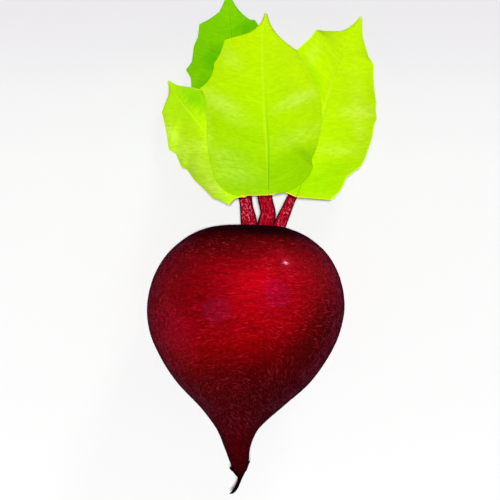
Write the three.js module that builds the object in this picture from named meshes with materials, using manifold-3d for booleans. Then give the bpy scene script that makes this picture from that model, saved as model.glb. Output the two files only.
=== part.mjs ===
// A beetroot as picked, lying on its side: the swollen root with its hooked tail, and four leaves,
// each a red stalk that carries a toothed blade. Millimetres, +Z up.
// The origin is the middle of the flat spot that the root rests on. +Y runs from the tail towards
// the leaves, and +X to the right, seen from above.

import * as THREE from "three";
import { mergeVertices } from "three/addons/utils/BufferGeometryUtils.js";
import Module from "manifold-3d";

const wasm = await Module();
wasm.setup();

// ---------------------------------------------------------------- driving dimensions

const BELLY_RADIUS = 35; // the root at its widest
const FLAT_DEPTH = 1.2; // how far the belly is flattened where it rests
const AXIS_HEIGHT = BELLY_RADIUS - FLAT_DEPTH; // the root's axis over the surface
const GAP = 0.4; // between pieces that grow out of each other
const UP = new THREE.Vector3(0, 0, 1);
const TAILWARD = new THREE.Vector3(0, -1, 0);

// The root from crown to tail: [y, radius, x, height over AXIS_HEIGHT].
const ROOT_STATIONS = [
  [29.5, 0, 0.6, 0],
  [29.3, 7.8, 0.6, 0],
  [28.1, 14.6, 0.6, 0],
  [24.6, 22, 0.7, 0],
  [18.4, 28.9, 0.7, 0],
  [10, 33.3, 0.5, 0],
  [0, BELLY_RADIUS, 0.2, 0],
  [-9.8, 33.5, -0.1, 0],
  [-18.4, 29.5, -0.3, 0],
  [-27, 23.6, -0.5, -0.2],
  [-35.4, 15, -1.3, -0.6],
  [-43.2, 7.8, -2.6, -1.3],
  [-50, 4.7, -2.7, -2.2],
  [-56.4, 3.1, -1.9, -3.2],
  [-58.8, 2.2, -1.8, -3.6],
  [-60.4, 1.1, -1.7, -4],
  [-62.8, 0.8, -2.3, -4.6],
  [-65, 0.8, -3.3, -5.3],
  [-66.4, 0.7, -4.5, -5.9],
  [-67, 0, -5.7, -6.4],
];
const ROOT_RINGS_PER_STATION = 2;
const ROOT_SIDES = 44;
const ROOT_TURNS = [2, 6]; // thinner than the first radius, the root's rings follow its curve
// The body is a little lobed: [lobes round it, share of the radius, turn in radians].
const ROOT_LOBES = [
  [2, 0.008, 0.4],
  [3, 0.006, 1.9],
  [5, 0.004, 0.7],
];
// Snapped rootlets on the tail: [y, x, height over AXIS_HEIGHT] of the inner end and of the tip.
const ROOTLETS = [
  { from: [-55.2, -2.3, -3.1], to: [-57.4, -5.1, -3.4], radius: 0.7 },
  { from: [-54.4, -1.4, -3], to: [-55.4, 1.9, -3.1], radius: 0.65 },
];

const STALK_RINGS = 14;
const STALK_SIDES = 14;
const STALK_DROP = 2.2; // the stalk's axis under the blade's midrib
const STALK_REACH = [0.08, 0.15]; // shares of the midrib that the stalk's end runs under

const BLADE_THICKNESS = 0.7;
const TIP_HALF_WIDTH = 0.35; // a blade's base and tip are twice this wide
const RIB_DEPTH = 1.1; // the midrib stands out of the underside by this
const RIB_START = 0.18; // the share of the midrib where it has its full depth
const ROWS_PER_STRETCH = 3;
// Columns across a blade, from its left edge (-1) over the midrib (0) to its right edge (1).
const COLUMNS = [-1, -0.62, -0.28, -0.07, 0, 0.07, 0.28, 0.62, 1];

// Each leaf: its stalk leaves the crown along `crown` and is `stalkWidths` wide and `stalkDepths` deep
// from root to tip. The blade's midrib is a curve in space. Its edges, seen from above, run from base
// to tip through [x, y, bow], where bow is how far the stretch to the next point bulges outwards, as a
// share of its length. `fold` is how far the left and right edges hang below the midrib, `wave` how
// deep the edges ripple and `ripples` how often.
const LEAVES = [
  {
    name: "middle",
    colour: 0xa9e000,
    crown: [
      [7.2, 24.5, 38],
      [7.5, 29.5, 38.3],
      [8.2, 33.8, 38.8],
      [7.1, 39.8, 39.7],
    ],
    stalkWidths: [6.4, 5.9, 5.2, 5.2, 2],
    stalkDepths: [4.4, 4.2, 3.8, 3, 1.8],
    midrib: [
      [8.4, 40, 42.3],
      [8.2, 55.9, 43.6],
      [7.3, 70.2, 41.2],
      [6.8, 84.6, 36],
      [6.6, 99.2, 28],
      [7.5, 105.2, 24],
    ],
    left: [
      [8.4, 39.8, 0],
      [-1.8, 39.6, 0.04],
      [-6.6, 41.3, 0.1],
      [-11.9, 50.6, 0.04],
      [-13.5, 64.9, 0],
      [-14.1, 74.1, -0.06],
      [-16.1, 78.1, -0.14],
      [-10.9, 87.1, -0.06],
      [-7.1, 95.5, -0.12],
      [2.5, 97.8, -0.1],
      [7.5, 105.2, 0],
    ],
    right: [
      [8.4, 39.8, 0],
      [13.5, 40.8, 0.05],
      [19.2, 43.7, 0.1],
      [24, 49.9, -0.08],
      [23.9, 53.2, 0.04],
      [26.6, 61.4, 0.04],
      [27.4, 69.7, 0],
      [26.7, 75.5, 0.02],
      [18.3, 91.9, -0.04],
      [11.5, 97.1, -0.06],
      [7.5, 105.2, 0],
    ],
    fold: [5, 5],
    wave: 0.9,
    ripples: 3,
  },
  {
    name: "right",
    colour: 0xa9e000,
    crown: [
      [10.6, 24.5, 33],
      [12.4, 29.2, 33],
      [14.5, 34, 33],
      [16.8, 39.2, 32.8],
    ],
    stalkWidths: [4.8, 4.4, 3.6, 2.9, 1.6],
    stalkDepths: [4, 3.8, 3.2, 2.6, 1.6],
    midrib: [
      [18.4, 39.3, 35],
      [23.2, 53.9, 33.5],
      [27.9, 68.5, 28],
      [31.8, 80.8, 20],
      [35.9, 92.8, 10.5],
      [42.1, 105, 0.6],
    ],
    left: [
      [18.4, 39.2, 0],
      [13.6, 41.2, 0.06],
      [10.7, 49.7, 0.04],
      [7.5, 56.1, -0.06],
      [8.2, 66.9, 0.02],
      [6.1, 74.2, -0.08],
      [9.7, 81.4, 0.02],
      [13.7, 88, 0],
      [22.3, 95.7, -0.04],
      [25.7, 99.8, 0],
      [27.6, 99.6, -0.02],
      [35.3, 99.4, -0.08],
      [42.1, 105, 0],
    ],
    right: [
      [18.4, 39.2, 0],
      [30.4, 38.3, 0.02],
      [33.7, 41.4, 0.02],
      [36.3, 46.5, 0],
      [41.3, 50.1, 0.05],
      [44, 56.1, 0.04],
      [46.3, 64.3, -0.04],
      [47.4, 67.5, -0.04],
      [47.3, 73.4, -0.03],
      [46.4, 87.7, 0],
      [44.6, 89.9, 0],
      [42.4, 97.2, 0],
      [42.1, 105, 0],
    ],
    fold: [2, 6],
    wave: 0.9,
    ripples: 4,
  },
  {
    name: "left",
    colour: 0xa9e000,
    crown: [
      [1.7, 24.5, 33.4],
      [1.5, 29.5, 33.4],
      [0.8, 34.2, 33.4],
      [-0.2, 39, 33],
    ],
    stalkWidths: [6.3, 5.8, 4.5, 3.5, 1.8],
    stalkDepths: [4.2, 4, 3.4, 2.8, 1.8],
    midrib: [
      [0.2, 39.3, 35.8],
      [-6.8, 50.6, 32],
      [-13.5, 62, 25],
      [-18.9, 69.2, 17.5],
      [-23.7, 75.1, 9.5],
      [-27.8, 81.6, 0.8],
    ],
    left: [
      [0.2, 39.3, 0],
      [-5.3, 36.6, 0],
      [-8.4, 38.1, 0],
      [-11.4, 39.2, 0],
      [-14.3, 42.1, 0],
      [-18.2, 45.7, 0],
      [-20.9, 49.5, 0],
      [-22.8, 50.3, 0],
      [-24.9, 55.3, 0],
      [-27.4, 56.9, -0.02],
      [-29.9, 70.4, 0],
      [-27.4, 76.5, -0.06],
      [-27.8, 81.6, 0],
    ],
    right: [
      [0.2, 39.3, 0],
      [2.7, 41.8, 0.06],
      [4.5, 46.1, 0.04],
      [5.2, 52, 0.03],
      [4.6, 59, -0.06],
      [3.9, 66.6, -0.08],
      [-2.5, 70.8, 0],
      [-7.4, 73.4, -0.06],
      [-10.6, 77.3, -0.06],
      [-16.1, 78.1, 0],
      [-20.1, 79.1, 0],
      [-23.8, 79.6, -0.05],
      [-27.8, 81.6, 0],
    ],
    fold: [12, -2],
    wave: 0.8,
    ripples: 3,
  },
  {
    name: "back",
    colour: 0x5fb400,
    crown: [
      [1.9, 24.5, 26.8],
      [1.6, 29.6, 26.2],
      [0.9, 34.6, 23.6],
      [0.4, 40.4, 18.6],
    ],
    stalkWidths: [5, 4.8, 4.2, 3.6, 1.8],
    stalkDepths: [4, 3.8, 3.4, 2.8, 1.8],
    midrib: [
      [0.7, 45.6, 17.4],
      [-1, 60.5, 9.6],
      [-2.7, 75.8, 4],
      [-4.1, 89.1, 2],
      [-5.3, 101.3, 1.6],
      [-6.4, 114.8, 0.6],
    ],
    left: [
      [0.7, 45.6, 0],
      [-8.1, 49.4, 0.08],
      [-15.2, 56.8, -0.05],
      [-17.6, 65.6, 0],
      [-20.9, 71.8, -0.06],
      [-19.7, 82.7, -0.02],
      [-21.5, 85.8, -0.02],
      [-19.3, 88.7, 0],
      [-18.5, 94.4, 0],
      [-17, 97.6, 0],
      [-16.3, 102.4, -0.04],
      [-9.1, 106.8, -0.06],
      [-6.4, 114.8, 0],
    ],
    right: [
      [0.7, 45.6, 0],
      [8.5, 50.3, 0.08],
      [13.2, 57.6, -0.05],
      [13.5, 65.6, 0],
      [16.6, 72.9, -0.08],
      [13.8, 80.9, 0],
      [15.2, 88.2, -0.08],
      [10, 95.1, 0],
      [4.7, 102, 0],
      [3.4, 103.8, 0],
      [1.4, 104, -0.04],
      [-3.1, 108.1, -0.04],
      [-6.4, 114.8, 0],
    ],
    fold: [1.5, 1.5],
    wave: 0.7,
    ripples: 4,
  },
];

// ---------------------------------------------------------------- shared shapes

// A smooth curve through [x, y, z] points.
function curveThrough(points) {
  return new THREE.CatmullRomCurve3(
    points.map((p) => new THREE.Vector3(...p)),
    false,
    "catmullrom",
  );
}

// A smooth value along a list of numbers, at share 0 to 1 of the list.
function valueAlong(values) {
  const line = curveThrough(values.map((v) => [v, 0, 0]));
  return (share) => Math.max(0, line.getPoint(share).x);
}

// A closed surface of rings laid along a path. section(share, angle) gives the point of the ring at
// that share of the path, as [to the side, over] of the path. A sphere gives the rings, and its two
// poles close the ends. With flatEnds the first and last ring are closed by a flat face; these faces
// lie `overrun` beyond the path's ends.
// facing(share) is the way a ring looks, which is along the path unless it is given.
function ringsAlong(path, section, { rings, sides, flatEnds = false, overrun = 0, facing }) {
  const shape = new THREE.SphereGeometry(1, sides, rings);
  const position = shape.getAttribute("position");
  const uv = shape.getAttribute("uv");
  for (let i = 0; i < position.count; i++) {
    const ring = Math.round((1 - uv.getY(i)) * rings);
    const share = flatEnds
      ? THREE.MathUtils.clamp((ring - 1) / (rings - 2), 0, 1)
      : ring / rings;
    const front = facing ? facing(share) : path.getTangent(share);
    const side = new THREE.Vector3().crossVectors(UP, front).normalize();
    const over = new THREE.Vector3().crossVectors(front, side);
    const pole = ring === 0 || ring === rings;
    const [toSide, toTop] = pole ? [0, 0] : section(share, -2 * Math.PI * uv.getX(i));
    const end = share === 0 ? -1 : share === 1 ? 1 : 0;
    const point = path.getPoint(share);
    point.addScaledVector(front, end * overrun);
    point.addScaledVector(side, toSide).addScaledVector(over, toTop);
    position.setXYZ(i, point.x, point.y, point.z);
  }
  return shape;
}

// Turns a closed geometry into a solid that can be joined and cut.
function solidFrom(geometry) {
  const bare = geometry.clone();
  bare.deleteAttribute("normal");
  bare.deleteAttribute("uv");
  const merged = mergeVertices(bare, 1e-4);
  return new wasm.Manifold(
    new wasm.Mesh({
      numProp: 3,
      vertProperties: merged.getAttribute("position").array,
      triVerts: new Uint32Array(merged.index.array),
    }),
  );
}

// Turns a solid back into a geometry.
function geometryFrom(solid) {
  const mesh = solid.getMesh();
  const geometry = new THREE.BufferGeometry();
  geometry.setAttribute("position", new THREE.BufferAttribute(mesh.vertProperties, mesh.numProp));
  geometry.setIndex(new THREE.BufferAttribute(mesh.triVerts, 1));
  geometry.computeVertexNormals();
  return geometry;
}

function namedMesh(name, geometry, colour, roughness) {
  const material = new THREE.MeshStandardMaterial({ color: colour, roughness, metalness: 0 });
  const mesh = new THREE.Mesh(geometry, material);
  mesh.name = name;
  return mesh;
}

// ---------------------------------------------------------------- stalks

// A stalk is round below and has a shallow channel along its upper side.
const CHANNEL_HEIGHT = 0.6;
const CHANNEL_DIP = 0.45;
const CHANNEL_SHARPNESS = 6;

function stalkGeometry(leaf, grow = 0) {
  const midrib = curveThrough(leaf.midrib);
  const under = STALK_REACH.map((share) => {
    const point = midrib.getPoint(share);
    return [point.x, point.y, point.z - STALK_DROP];
  });
  const width = valueAlong(leaf.stalkWidths);
  const depth = valueAlong(leaf.stalkDepths);
  const section = (share, angle) => {
    const over = Math.sin(angle);
    const dip = CHANNEL_DIP * Math.pow(over, CHANNEL_SHARPNESS);
    const height = over > 0 ? CHANNEL_HEIGHT * over - dip : over;
    const reachSide = width(share) / 2 + grow;
    const reachUp = depth(share) / 2;
    return [reachSide * Math.cos(angle), reachUp * height + grow * over];
  };
  const path = curveThrough([...leaf.crown, ...under]);
  const rings = { rings: STALK_RINGS, sides: STALK_SIDES, flatEnds: true, overrun: grow };
  return ringsAlong(path, section, rings);
}

// ---------------------------------------------------------------- root

function rootletSolid({ from, to, radius }) {
  const place = ([y, x, height]) => [x, y, AXIS_HEIGHT + height];
  const path = curveThrough([place(from), place(to)]);
  const section = (share, angle) => {
    const reach = radius * (1 - 0.35 * share);
    return [reach * Math.cos(angle), reach * Math.sin(angle)];
  };
  return solidFrom(ringsAlong(path, section, { rings: 4, sides: 8, flatEnds: true }));
}

function rootGeometry() {
  const path = curveThrough(ROOT_STATIONS.map(([y, , x, height]) => [x, y, AXIS_HEIGHT + height]));
  const radius = valueAlong(ROOT_STATIONS.map((station) => station[1]));
  const section = (share, angle) => {
    const lobed = ROOT_LOBES.reduce(
      (sum, [lobes, size, turn]) => sum + size * Math.cos(lobes * angle + turn),
      1,
    );
    const reach = radius(share) * lobed;
    return [reach * Math.cos(angle), reach * Math.sin(angle)];
  };
  const facing = (share) => {
    const upright = THREE.MathUtils.smoothstep(radius(share), ...ROOT_TURNS);
    return path.getTangent(share).lerp(TAILWARD, upright).normalize();
  };
  const rings = (ROOT_STATIONS.length - 1) * ROOT_RINGS_PER_STATION;
  let solid = solidFrom(ringsAlong(path, section, { rings, sides: ROOT_SIDES, facing }));
  for (const rootlet of ROOTLETS) solid = solid.add(rootletSolid(rootlet));

  // Each stalk stands in a plain socket in the crown, and the belly is flat where it rests.
  for (const leaf of LEAVES) solid = solid.subtract(solidFrom(stalkGeometry(leaf, GAP)));
  const size = 4 * BELLY_RADIUS;
  const ground = new THREE.BoxGeometry(size, size, size).translate(0, 0, -size / 2);
  return geometryFrom(solid.subtract(solidFrom(ground)));
}

// ---------------------------------------------------------------- blades

// A point on a blade's edge, seen from above: share 0 to 1 runs through the edge's stretches, each a
// bow between two of its points. outward is 1 for an edge whose leaf lies on its left, and -1 for one
// whose leaf lies on its right, walking from base to tip.
function edgePoint(edge, share, outward) {
  const along = share * (edge.length - 1);
  const k = Math.min(Math.floor(along), edge.length - 2);
  const start = new THREE.Vector2(edge[k][0], edge[k][1]);
  const end = new THREE.Vector2(edge[k + 1][0], edge[k + 1][1]);
  const run = end.clone().sub(start);
  const away = new THREE.Vector2(run.y, -run.x).multiplyScalar(2 * edge[k][2] * outward);
  const middle = start.clone().add(end).multiplyScalar(0.5).add(away);
  return new THREE.QuadraticBezierCurve(start, middle, end).getPoint(along - k);
}

// How deep the midrib stands out of the underside at that share of it.
function ribDepth(share) {
  const starts = THREE.MathUtils.smoothstep(share, RIB_START / 2, RIB_START);
  return RIB_DEPTH * starts * (1 - share);
}

// The middle of the blade's thickness at share 0 to 1 along it and column -1 to 1 across it.
function bladeMiddle(leaf, midrib, share, column) {
  const rib = midrib.getPoint(share);
  const rightward = column >= 0;
  const edge = edgePoint(rightward ? leaf.right : leaf.left, share, rightward ? 1 : -1);
  const out = Math.abs(column);
  const tangent = midrib.getTangent(share);
  const side = new THREE.Vector3().crossVectors(tangent, UP).normalize();
  const belly = Math.sin(Math.PI * share) ** 2;
  const ripple = Math.sin(2 * Math.PI * leaf.ripples * share + (rightward ? 0 : Math.PI / 2));
  const hang = leaf.fold[rightward ? 1 : 0] * belly - leaf.wave * ripple * belly;
  const lowest = BLADE_THICKNESS / 2 + (column === 0 ? ribDepth(share) : 0);
  const spread = column * TIP_HALF_WIDTH * (1 - belly);
  return new THREE.Vector3(
    THREE.MathUtils.lerp(rib.x, edge.x, out) + side.x * spread,
    THREE.MathUtils.lerp(rib.y, edge.y, out) + side.y * spread,
    Math.max(rib.z - hang * out * out, lowest),
  );
}

// The blade as two skins with the same triangles, joined by a rim round its edge.
function bladeGeometry(leaf) {
  const midrib = curveThrough(leaf.midrib);
  const rows = (leaf.left.length - 1) * ROWS_PER_STRETCH;
  const last = COLUMNS.length - 1;
  const middles = [];
  for (let i = 0; i <= rows; i++) {
    middles.push(COLUMNS.map((column) => bladeMiddle(leaf, midrib, i / rows, column)));
  }
  const at = (i, j) =>
    middles[THREE.MathUtils.clamp(i, 0, rows)][THREE.MathUtils.clamp(j, 0, last)];
  const upper = [];
  const lower = [];
  for (let i = 0; i <= rows; i++) {
    for (let j = 0; j <= last; j++) {
      const along = at(i + 1, j).clone().sub(at(i - 1, j));
      const across = at(i, j + 1).clone().sub(at(i, j - 1));
      const normal = across.cross(along).normalize();
      const rib = COLUMNS[j] === 0 ? ribDepth(i / rows) : 0;
      upper.push(at(i, j).clone().addScaledVector(normal, BLADE_THICKNESS / 2));
      lower.push(at(i, j).clone().addScaledVector(normal, -BLADE_THICKNESS / 2 - rib));
    }
  }
  const index = [];
  const count = upper.length;
  const id = (i, j) => i * (last + 1) + j;
  for (let i = 0; i < rows; i++) {
    for (let j = 0; j < last; j++) {
      const [a, b, c, d] = [id(i, j), id(i, j + 1), id(i + 1, j + 1), id(i + 1, j)];
      index.push(a, b, c, a, c, d);
      index.push(count + a, count + c, count + b, count + a, count + d, count + c);
    }
  }
  const rim = [];
  for (let j = 0; j < last; j++) rim.push(id(0, j));
  for (let i = 0; i < rows; i++) rim.push(id(i, last));
  for (let j = last; j > 0; j--) rim.push(id(rows, j));
  for (let i = rows; i > 0; i--) rim.push(id(i, 0));
  rim.forEach((a, k) => {
    const b = rim[(k + 1) % rim.length];
    index.push(a, count + a, count + b, a, count + b, b);
  });
  const geometry = new THREE.BufferGeometry().setFromPoints([...upper, ...lower]);
  geometry.setIndex(index);
  geometry.computeVertexNormals();
  return geometry;
}

// ---------------------------------------------------------------- the beetroot

const beetroot = new THREE.Group();
beetroot.name = "beetroot";
beetroot.add(namedMesh("root", rootGeometry(), 0x8e0a22, 0.5));
for (const leaf of LEAVES) {
  beetroot.add(namedMesh(`stalk_${leaf.name}`, stalkGeometry(leaf), 0xa00a2c, 0.5));
  beetroot.add(namedMesh(`leaf_${leaf.name}`, bladeGeometry(leaf), leaf.colour, 0.55));
}

export default beetroot;
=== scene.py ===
"""A beetroot as picked, lying on its side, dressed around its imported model.

The root is a crimson, finely flecked body with a hooked tail. Four red stalks leave its crown and each
carries a toothed, softly puckered blade. Sizes are in millimetres until a mesh is made, and the frame
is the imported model's: the origin is the root's flat spot, +Y runs from the tail to the leaves, +Z up.
"""

import logging
import math
from dataclasses import dataclass, field, replace
from enum import Enum
from typing import Optional, Sequence, Union

import bpy
import numpy as np
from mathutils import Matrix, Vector, noise


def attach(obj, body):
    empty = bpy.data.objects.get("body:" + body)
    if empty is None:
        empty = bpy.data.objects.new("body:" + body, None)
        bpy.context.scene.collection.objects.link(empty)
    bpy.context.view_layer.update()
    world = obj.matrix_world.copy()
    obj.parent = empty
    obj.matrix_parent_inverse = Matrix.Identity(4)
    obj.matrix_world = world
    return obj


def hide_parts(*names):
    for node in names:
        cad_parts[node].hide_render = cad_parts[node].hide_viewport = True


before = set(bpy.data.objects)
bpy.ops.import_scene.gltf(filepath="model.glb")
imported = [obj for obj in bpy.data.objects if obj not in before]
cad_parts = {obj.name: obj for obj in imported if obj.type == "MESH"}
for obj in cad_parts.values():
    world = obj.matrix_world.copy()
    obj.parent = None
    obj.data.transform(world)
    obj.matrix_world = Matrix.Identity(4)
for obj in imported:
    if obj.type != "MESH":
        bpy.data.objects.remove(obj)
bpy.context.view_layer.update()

LOG = logging.getLogger("beetroot")

MM = 0.001
FULL_TURN = 2 * math.pi
BODY = "root"
BELLY_RADIUS = 35.0
FLAT_DEPTH = 1.2
AXIS_HEIGHT = BELLY_RADIUS - FLAT_DEPTH
LEAST_LENGTH = 1e-12
UP = np.array([0.0, 0.0, 1.0])
TAILWARD = np.array([0.0, -1.0, 0.0])

Colour = tuple[float, float, float]
Point = tuple[float, float, float]
Span = tuple[float, float]
Faces = list[tuple[int, ...]]


class Slot(Enum):
    """The material slots that the pieces are logged with."""

    ROOT_SKIN = "root_skin"
    STALK = "stalk"
    LEAF_LIME = "leaf_lime"
    LEAF_GREEN = "leaf_green"


# ------------------------------------------------------------------------------- numbers and curves


def smoothstep(value: np.ndarray, low: float, high: float) -> np.ndarray:
    """Rises softly from 0 at low to 1 at high, which may be the lower of the two."""
    share = np.clip((np.asarray(value, dtype=float) - low) / (high - low), 0.0, 1.0)
    return share * share * (3.0 - 2.0 * share)


def window(value: np.ndarray, rise: Span, fall: Span) -> np.ndarray:
    """Rises softly from 0 to 1 over one span and falls back to 0 over another."""
    return smoothstep(value, *rise) * (1.0 - smoothstep(value, *fall))


def bell(value: np.ndarray, width: Union[float, np.ndarray]) -> np.ndarray:
    """Gives a soft bell that is 1 at 0 and falls to about a third at its width."""
    return np.exp(-((value / width) ** 2))


def softened(grid: np.ndarray, blends: int) -> np.ndarray:
    """Blends each row of a grid with the rows beside it.

    Args:
        grid: Numbers by row and column.
        blends: How often the rows are blended.

    Returns:
        The blended grid.
    """
    for _ in range(blends):
        before, after = np.vstack([grid[:1], grid[:-1]]), np.vstack([grid[1:], grid[-1:]])
        grid = (before + 2 * grid + after) / 4
    return grid


def unit(vectors: np.ndarray) -> np.ndarray:
    """Gives vectors of length 1 along the last axis of an array of vectors."""
    return vectors / np.maximum(np.linalg.norm(vectors, axis=-1, keepdims=True), LEAST_LENGTH)


def circle(sides: int) -> tuple[np.ndarray, np.ndarray]:
    """Gives the angles of points round a circle, and the cosine and sine of each as one row."""
    angle = np.linspace(0.0, FULL_TURN, sides, endpoint=False)
    return angle, np.stack([np.cos(angle), np.sin(angle)], -1)


class Curve:
    """A smooth curve through points, evenly shared between them."""

    def __init__(self, points: Sequence[Sequence[float]]) -> None:
        """Lays the curve.

        Args:
            points: The points that it runs through, one a row.
        """
        inner = np.asarray(points, dtype=float)
        before = 2 * inner[0] - inner[1]
        after = 2 * inner[-1] - inner[-2]
        self.points = np.vstack([before, inner, after])
        self.stretches = len(inner) - 1

    def at(self, share: np.ndarray) -> np.ndarray:
        """Gives the curve's points.

        Args:
            share: Shares 0 to 1 of the curve.

        Returns:
            One point a row.
        """
        along = np.clip(np.atleast_1d(share), 0.0, 1.0) * self.stretches
        first = np.minimum(along.astype(int), self.stretches - 1)
        t = (along - first)[:, None]
        a, b, c, d = (self.points[first + k] for k in range(4))
        leave = (c - a) / 2
        arrive = (d - b) / 2
        cubic = 2 * b - 2 * c + leave + arrive
        square = -3 * b + 3 * c - 2 * leave - arrive
        return cubic * t**3 + square * t**2 + leave * t + b

    def heading(self, share: np.ndarray, step: float = 1e-4) -> np.ndarray:
        """Gives the unit directions of the curve.

        Args:
            share: Shares 0 to 1 of the curve.
            step: How far ahead and back the direction is read, as a share of the curve.

        Returns:
            One direction a row.
        """
        share = np.atleast_1d(share)
        ahead = self.at(np.minimum(share + step, 1.0)) - self.at(np.maximum(share - step, 0.0))
        return ahead / np.linalg.norm(ahead, axis=1, keepdims=True)


@dataclass(frozen=True)
class Ripple:
    """Smooth unevenness: its height, its waves to a millimetre along X, Y and Z, and its pattern."""

    height: float
    scale: Point
    seed: float

    def at(self, points: np.ndarray) -> np.ndarray:
        """Gives the unevenness at points, one a row."""
        scaled = points * np.asarray(self.scale) + self.seed
        return self.height * np.array([noise.noise(Vector(spot)) for spot in scaled])


@dataclass(frozen=True)
class Patch:
    """A soft patch, seen from above: its middle, its half length and width, its turn and its strength.

    A firm patch, above 1, keeps its strength further out and ends more sharply.
    """

    x: float
    y: float
    long: float
    wide: float
    turn: float
    strength: float
    firm: float = 1.0

    def at(self, spots: np.ndarray) -> np.ndarray:
        """Gives the patch's strength.

        Args:
            spots: Points, one a row.

        Returns:
            The strength at each point.
        """
        turn = math.radians(self.turn)
        x, y = spots[:, 0] - self.x, spots[:, 1] - self.y
        along = x * math.cos(turn) + y * math.sin(turn)
        across = y * math.cos(turn) - x * math.sin(turn)
        off = (along / self.long) ** 2 + (across / self.wide) ** 2
        return self.strength * np.exp(-(off**self.firm))


# ------------------------------------------------------------------------------- meshes and pieces


@dataclass
class Shell:
    """A mesh in the making: vertices in millimetres, faces, and numbers kept on the vertices."""

    vertices: np.ndarray
    faces: Faces
    marks: dict[str, np.ndarray] = field(default_factory=dict)
    sharp_from: float = 60.0

    def piece(self, name: str, material: bpy.types.Material) -> bpy.types.Object:
        """Makes a smooth Blender object of the shell.

        Args:
            name: The object's name.
            material: What it is dressed in.

        Returns:
            The object, at the origin, in metres.
        """
        mesh = bpy.data.meshes.new(name)
        mesh.from_pydata((self.vertices * MM).tolist(), [], self.faces)
        for mark, numbers in self.marks.items():
            layer = mesh.attributes.new(mark, "FLOAT_VECTOR", "POINT")
            layer.data.foreach_set("vector", np.ascontiguousarray(numbers, dtype=np.float32).ravel())
        mesh.materials.append(material)
        mesh.shade_smooth()
        mesh.set_sharp_from_angle(angle=math.radians(self.sharp_from))
        mesh.update()
        return in_scene(name, mesh)


def in_scene(name: str, data: bpy.types.ID) -> bpy.types.Object:
    """Puts a mesh, light or camera into the scene.

    Args:
        name: The object's name.
        data: What the object is made of.

    Returns:
        The object, at the origin.
    """
    made = bpy.data.objects.new(name, data)
    bpy.context.scene.collection.objects.link(made)
    return made


def grid_faces(rows: int, columns: int, wraps: bool) -> Faces:
    """Lists the faces of a grid of vertices that are stored row by row.

    Args:
        rows: How many rows of vertices there are.
        columns: How many vertices a row holds.
        wraps: Whether each row closes on itself.

    Returns:
        Faces of four vertices each.
    """
    row = np.arange(rows - 1)[:, None]
    column = np.arange(columns if wraps else columns - 1)[None, :]
    near = row * columns + column
    beside = row * columns + (column + 1) % columns
    quads = np.stack([near, beside, beside + columns, near + columns], axis=-1)
    return [tuple(quad) for quad in quads.reshape(-1, 4).tolist()]


def ring_frames(front: np.ndarray) -> tuple[np.ndarray, np.ndarray]:
    """Gives the directions to the side and over the top of rings that look along front, one a row."""
    side = unit(np.cross(UP, front))
    return side, np.cross(front, side)


def ring_shell(centres: np.ndarray, front: np.ndarray, reach: np.ndarray) -> np.ndarray:
    """Gives the vertices of closed rings.

    Args:
        centres: The middle of each ring.
        front: The way that each ring looks.
        reach: For each ring and each of its vertices, how far it lies to the side and over.

    Returns:
        Vertices by ring and place in the ring.
    """
    side, over = ring_frames(front)
    to_side = reach[..., 0:1] * side[:, None, :]
    to_top = reach[..., 1:2] * over[:, None, :]
    return centres[:, None, :] + to_side + to_top


def capped(rings: np.ndarray, first: np.ndarray, last: np.ndarray) -> tuple[np.ndarray, Faces]:
    """Closes a run of rings with a point at each end.

    Args:
        rings: Vertices by ring and place in the ring.
        first: The point that closes the first ring.
        last: The point that closes the last ring.

    Returns:
        The vertices as rows, and the faces.
    """
    count, sides = rings.shape[:2]
    vertices = np.vstack([rings.reshape(-1, 3), first[None, :], last[None, :]])
    faces = grid_faces(count, sides, wraps=True)
    start, end = count * sides, count * sides + 1
    for k in range(sides):
        beside = (k + 1) % sides
        faces.append((start, beside, k))
        faces.append((end, (count - 1) * sides + k, (count - 1) * sides + beside))
    return vertices, faces


def put_on_body(piece: bpy.types.Object, slot: Slot, node: Optional[str] = None) -> None:
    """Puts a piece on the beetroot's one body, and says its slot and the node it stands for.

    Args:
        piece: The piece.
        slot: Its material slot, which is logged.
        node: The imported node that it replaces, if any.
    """
    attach(piece, BODY)
    if node:
        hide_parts(node)
    faces = len(piece.data.polygons)
    LOG.info("%s: %d faces, slot %s, for node %s", piece.name, faces, slot.value, node)


# ------------------------------------------------------------------------------- paint

Plug = Union[float, Colour, "Value"]


@dataclass(frozen=True)
class Grain:
    """A noise in a skin: its stretch along X, Y and Z, its waves to a metre and how fine it gets."""

    stretch: Point
    scale: float
    detail: float = 2.0
    rough: float = 0.5


@dataclass(frozen=True)
class Wash:
    """A thin layer of colour: its colour, how much of it covers, and the span over which it comes up."""

    colour: Colour
    most: float
    span: Span


@dataclass(frozen=True)
class Lift:
    """A rise on a value: how much there is of it, and the span over which it comes up."""

    most: float
    span: Span = (0.3, 0.7)


class Value:
    """A socket of a material, on which sums are written as plain Python."""

    def __init__(self, paint: "Paint", socket: bpy.types.NodeSocket) -> None:
        """Wraps a socket of a material in the making."""
        self.paint = paint
        self.socket = socket

    def _sum(self, operation: str, first: Plug, second: Plug) -> "Value":
        """Adds one Math node and gives its result."""
        return self.paint.value("ShaderNodeMath", {"operation": operation}, {0: first, 1: second})

    def __add__(self, other: Plug) -> "Value":
        """Adds."""
        return self._sum("ADD", self, other)

    __radd__ = __add__

    def __sub__(self, other: Plug) -> "Value":
        """Subtracts."""
        return self._sum("SUBTRACT", self, other)

    def __rsub__(self, other: Plug) -> "Value":
        """Subtracts this from a number."""
        return self._sum("SUBTRACT", other, self)

    def __mul__(self, other: Plug) -> "Value":
        """Multiplies."""
        return self._sum("MULTIPLY", self, other)

    __rmul__ = __mul__

    def __truediv__(self, other: Plug) -> "Value":
        """Divides."""
        return self._sum("DIVIDE", self, other)

    def __rtruediv__(self, other: Plug) -> "Value":
        """Divides a number by this."""
        return self._sum("DIVIDE", other, self)

    def size(self) -> "Value":
        """Gives the value without its sign."""
        return self._sum("ABSOLUTE", self, 0.0)


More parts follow.
